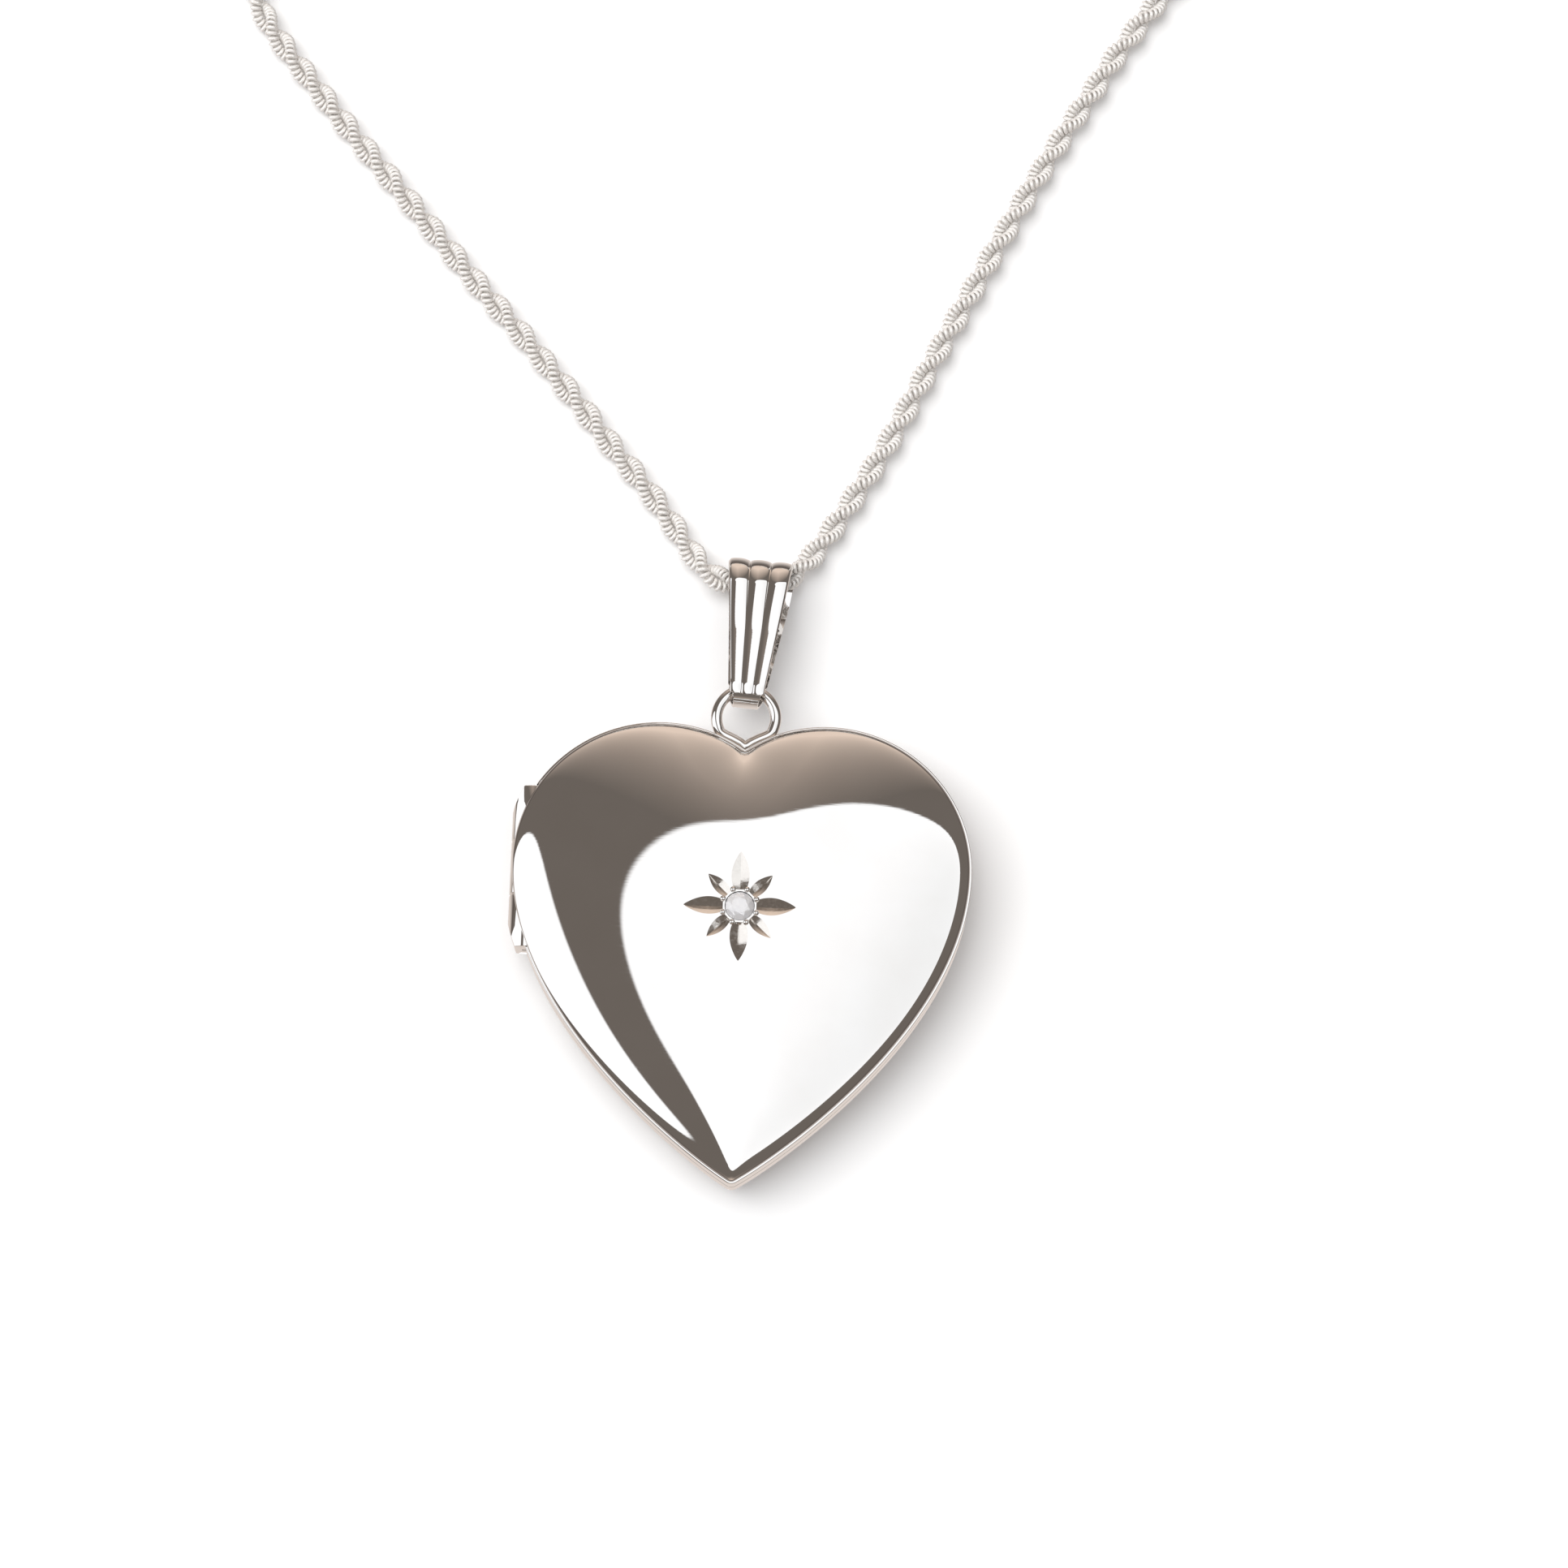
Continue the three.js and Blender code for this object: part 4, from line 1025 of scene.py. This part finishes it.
def end_cap(name, x, side, upright):
    """A cup with a beaded mouth and a turned line, and the eye at its head."""
    profile = [(0, 1.2), (0.6, 1.2), (0.64, 1.16), (0.64, 0.03), (0.67, 0.0), (0.71, 0.0), (0.74, 0.05),
               (0.74, 0.2), (0.71, 0.25), (0.68, 0.28), (0.68, 0.34), (0.71, 0.37), (0.74, 0.42),
               (0.74, 1.28), (0.70, 1.42), (0.6, 1.58), (0.45, 1.74), (0.28, 1.85), (0.12, 1.9), (0, 1.9)]
    cup = lathe("cup", [(r, side * h) for r, h in profile], 64, (x, FASTENING_Y, FITTING_Z), "X")
    return with_eye(cup, name, x + side * CAP_EYE, upright)


def with_eye(piece, name, x, upright):
    """Solders a small wire eye to a piece."""
    eye = tube("eye", circle((x, FASTENING_Y, FITTING_Z), EYE_RADIUS, upright), EYE_WIRE, 16)
    made = carve(piece, [eye], "UNION")
    made.name = name
    return wear(made, "polished_gold")


def jump_ring(name, x, upright):
    centre = (x, FASTENING_Y, LINK_RADIUS + LINK_WIRE if upright else FITTING_Z)
    return wear(tube(name, circle(centre, LINK_RADIUS, upright, 96), LINK_WIRE, 16), "polished_gold")


def clasp_arc(start, end, radius, steps=64):
    turn = np.radians(np.linspace(start, end, steps))
    return np.stack([CLASP_X + radius * np.cos(turn), FASTENING_Y + radius * np.sin(turn),
                     np.full(steps, FITTING_Z)], 1)


def clasp_body():
    """The bored arc of the spring ring, with beads at its mouth, its slot and its eye."""
    turn = np.linspace(0, 2 * math.pi, 24, endpoint=False)
    outer = []
    for degrees in np.linspace(MOUTH, 360 - MOUTH, 97):
        from_end = min(degrees - MOUTH, 360 - MOUTH - degrees)
        collar = COLLAR * math.exp(-((from_end - 5) / 1.6) ** 2)
        soft = min(1.0, 0.86 + 0.14 * math.sqrt(from_end / 1.5))
        outer.append((degrees, (CLASP_TUBE + collar) * soft))
    sections = outer + [(d, CLASP_BORE) for d, _ in reversed(outer)]
    rings = []
    for degrees, radius in sections:
        a = math.radians(degrees)
        out = np.array([math.cos(a), math.sin(a), 0])
        centre = np.array([CLASP_X, FASTENING_Y, FITTING_Z]) + CLASP_RADIUS * out
        rings.append(centre + radius * (np.outer(np.cos(turn), out) + np.outer(np.sin(turn), [0, 0, 1])))
    arc = skin("clasp_ring_body", rings, wrap_rings=True)
    slot = []
    low, high = FITTING_Z - SLOT_HALF, FITTING_Z + SLOT_HALF
    margin = math.degrees(math.asin(SLOT_HALF / CLASP_RADIUS))
    for degrees in np.linspace(KNOB - margin, KNOB + TRIGGER_TRAVEL + margin, 40):
        a = math.radians(degrees)
        out = np.array([math.cos(a), math.sin(a)])
        centre = np.array([CLASP_X, FASTENING_Y])
        near, far = centre + CLASP_RADIUS * out, centre + (CLASP_RADIUS + SLOT_REACH) * out
        slot.append([(*near, low), (*far, low), (*far, high), (*near, high)])
    made = carve(arc, [skin("slot", capped(slot))])
    return with_eye(made, "clasp_ring_body", CLASP_X - CLASP_RADIUS - CLASP_TUBE - EYE_RADIUS, True)


def clasp_trigger():
    """The sliding wire with its thumb knob."""
    path = clasp_arc(-MOUTH - 6, 80, CLASP_RADIUS)
    radii = np.full(len(path), SLIDE_WIRE)
    radii[[0, -1]], radii[[1, -2]] = 0.12, 0.22
    wire = tube("clasp_slide", path, radii, 20, closed=False)
    profile = [(0, 0), (0.14, 0), (0.14, 0.62), (0.13, 0.66), (0.19, 0.72), (0.21, 0.8), (0.19, 0.88),
               (0.12, 0.94), (0, 0.95)]
    knob = lathe("knob", profile, 32, (0, 0, 0), "X")
    turn = math.radians(KNOB)
    foot = Vector((CLASP_X + CLASP_RADIUS * math.cos(turn), FASTENING_Y + CLASP_RADIUS * math.sin(turn),
                   FITTING_Z)) * MM
    knob.data.transform(Matrix.Translation(foot) @ Matrix.Rotation(turn, 4, "Z"))
    made = carve(wire, [knob], "UNION")
    made.name = "clasp_slide"
    return wear(made, "polished_gold")


left_cap = end_cap("left_cap_cup", LEFT_CAP_X, 1, True)
right_cap = end_cap("right_cap_cup", RIGHT_CAP_X, -1, False)
left_link = jump_ring("left_link_ring", LEFT_LINK_X, False)
catch_ring = jump_ring("right_catch_ring", CATCH_RING_X, True)
clasp = clasp_body()
slide = clasp_trigger()

# ---- What moves with what ----

MOVES = (
    (front_cover, "front_half", "front_cover"),
    (stone, "front_half", "star_diamond"),
    (grains, "front_half", None),
    (front_rim, "front_half", "front_rim"),
    (front_frame, "front_half", "front_photo_frame"),
    (knuckles[1], "front_half", "hinge_knuckle_middle"),
    (back_cover, "locket", "back_cover"),
    (back_rim, "locket", "back_rim"),
    (back_frame, "locket", "back_photo_frame"),
    (knuckles[0], "locket", "hinge_knuckle_lower"),
    (knuckles[2], "locket", "hinge_knuckle_upper"),
    (ring_wire, "locket", "hanging_ring"),
    (bail_strip, "chain_and_bail", "bail"),
    (left_cap, "chain_and_bail", "left_end_cap"),
    (right_cap, "chain_and_bail", "right_end_cap"),
    (left_link, "chain_and_bail", "left_jump_ring"),
    (catch_ring, "chain_and_bail", "right_jump_ring"),
    (clasp, "chain_and_bail", "clasp_body"),
    (slide, "clasp_trigger", "clasp_trigger"),
)
for piece, body, node in MOVES:
    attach(piece, body)
    if node:
        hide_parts(node)

KEPT = {"hinge_pin": "pin_steel", "clasp_spring": "pin_steel", "front_photo_window": "acetate",
        "back_photo_window": "acetate", "front_photo_card": "paper", "back_photo_card": "paper"}
for node, slot in KEPT.items():
    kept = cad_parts[node]
    kept.data.materials.clear()
    kept.data.materials.append(FINISHES[slot])

# ---- Floor and light ----


def table_top():
    """A plain white table just under the object."""
    mesh = bpy.data.meshes.new("table_top")
    half, z = 3.0, -0.00001
    mesh.from_pydata([(-half, -half, z), (half, -half, z), (half, half, z), (-half, half, z)], [],
                     [(0, 1, 2, 3)])
    material = bpy.data.materials.new("white_table")
    material.use_nodes = True
    tree = material.node_tree
    shader = next(n for n in tree.nodes if n.type == "BSDF_PRINCIPLED")
    place = add_node(tree, "ShaderNodeTexCoord").outputs["Object"]
    grain = add_node(tree, "ShaderNodeTexNoise", Vector=place, Scale=40.0).outputs["Fac"]
    tint = blend_colours(tree, grain, (0.93, 0.93, 0.93, 1), (0.95, 0.95, 0.95, 1))
    tree.links.new(tint, shader.inputs["Base Color"])
    shader.inputs["Roughness"].default_value = 0.9
    shader.inputs["Specular IOR Level"].default_value = 0.1
    top = object_of("table_top", mesh)
    top.visible_glossy = False
    mesh.materials.append(material)


def soft_patch(tree, across, along, centre, half, edge):
    """1 inside a rounded patch of the sky, 0 outside, with an edge as wide as edge says."""
    power = 3.4
    parts = []
    for value, c, h in ((across, centre[0], half[0]), (along, centre[1], half[1])):
        away = sum_of(tree, "ABSOLUTE", sum_of(tree, "DIVIDE", sum_of(tree, "SUBTRACT", value, c), h))
        parts.append(sum_of(tree, "POWER", away, power))
    total = sum_of(tree, "ADD", *parts)
    return spread(tree, total, 1 + edge, 1 - edge, smooth=True)


WHITE_LIGHT = 1.2
OVERHEAD = ((0.20, -0.05), (0.33, 0.285), 0.035)  # a patch's middle, half sizes and soft edge
WINDOW = ((-0.85, -0.06), (0.592, 0.33), 0.035)
OVERHEAD_TILT = 0.08
DIM_WALL, LIT_WALL = (0.165, 0.143, 0.127, 1), (0.88, 0.72, 0.61, 1)
DIM_FLOOR, LIT_FLOOR = (0.12, 0.10, 0.09, 1), (0.78, 0.70, 0.65, 1)


def room_light():
    """Two large soft boxes, one overhead on the right and one low on the left, in a dim warm room."""
    world = bpy.data.worlds.new("studio")
    world.use_nodes = True
    bpy.context.scene.world = world
    tree = world.node_tree
    tree.nodes.clear()
    way = add_node(tree, "ShaderNodeTexCoord").outputs["Generated"]
    parts = add_node(tree, "ShaderNodeSeparateXYZ", Vector=way).outputs
    under = sum_of(tree, "MAXIMUM", sum_of(tree, "ADD", parts["Z"], 1.0), 0.05)
    across = sum_of(tree, "DIVIDE", parts["X"], under)
    along = sum_of(tree, "DIVIDE", parts["Y"], under)
    aside = sum_of(tree, "ABSOLUTE", across)
    tilted = sum_of(tree, "SUBTRACT", along, sum_of(tree, "MULTIPLY", across, OVERHEAD_TILT))
    overhead = soft_patch(tree, across, tilted, *OVERHEAD)
    window = soft_patch(tree, across, along, *WINDOW)
    far_slope = sum_of(tree, "SUBTRACT", along, sum_of(tree, "MULTIPLY", aside, 0.75))
    far_side = spread(tree, far_slope, 0.16, 0.72)
    near = sum_of(tree, "MULTIPLY", along, -1.0)
    near_slope = sum_of(tree, "SUBTRACT", near, sum_of(tree, "MULTIPLY", aside, 0.35))
    near_side = sum_of(tree, "MULTIPLY", spread(tree, near_slope, 0.45, 0.9, smooth=True), 0.7)
    wall = sum_of(tree, "MAXIMUM", far_side, near_side)
    room = blend_colours(tree, wall, DIM_WALL, LIT_WALL)
    deep = spread(tree, parts["Z"], -0.15, -0.85, smooth=True)
    floor = blend_colours(tree, deep, DIM_FLOOR, LIT_FLOOR)
    room = blend_colours(tree, spread(tree, parts["Z"], 0.0, -0.12), room, floor)
    lit = sum_of(tree, "MAXIMUM", overhead, window)
    squares = (sum_of(tree, "POWER", sum_of(tree, "SUBTRACT", value, middle), 2.0)
               for value, middle in ((across, 0.36), (along, -0.03)))
    from_middle = sum_of(tree, "ADD", *squares)
    white = blend_colours(tree, spread(tree, from_middle, 0.0, 0.11, smooth=True),
                          (WHITE_LIGHT * 0.87, WHITE_LIGHT * 0.885, WHITE_LIGHT * 0.90, 1),
                          (WHITE_LIGHT, WHITE_LIGHT * 1.01, WHITE_LIGHT * 1.03, 1))
    colour = blend_colours(tree, lit, room, white)
    back = add_node(tree, "ShaderNodeBackground", Color=colour, Strength=1.0)
    output = tree.nodes.new("ShaderNodeOutputWorld")
    tree.links.new(back.outputs[0], output.inputs[0])


def side_light():
    """A soft light from the upper left that lights the table; it isn't seen in the metal."""
    data = bpy.data.lights.new("side_light", "AREA")
    data.shape = "DISK"
    data.size = 0.9
    data.energy = 7.2
    lamp = bpy.data.objects.new("side_light", data)
    away = Vector((-0.36, 0.14, 0.92)).normalized()
    lamp.matrix_world = Matrix.Translation(away) @ away.to_track_quat("Z", "Y").to_matrix().to_4x4()
    lamp.visible_glossy = False
    bpy.context.scene.collection.objects.link(lamp)


table_top()
room_light()
side_light()
bpy.context.scene.view_settings.view_transform = "Standard"
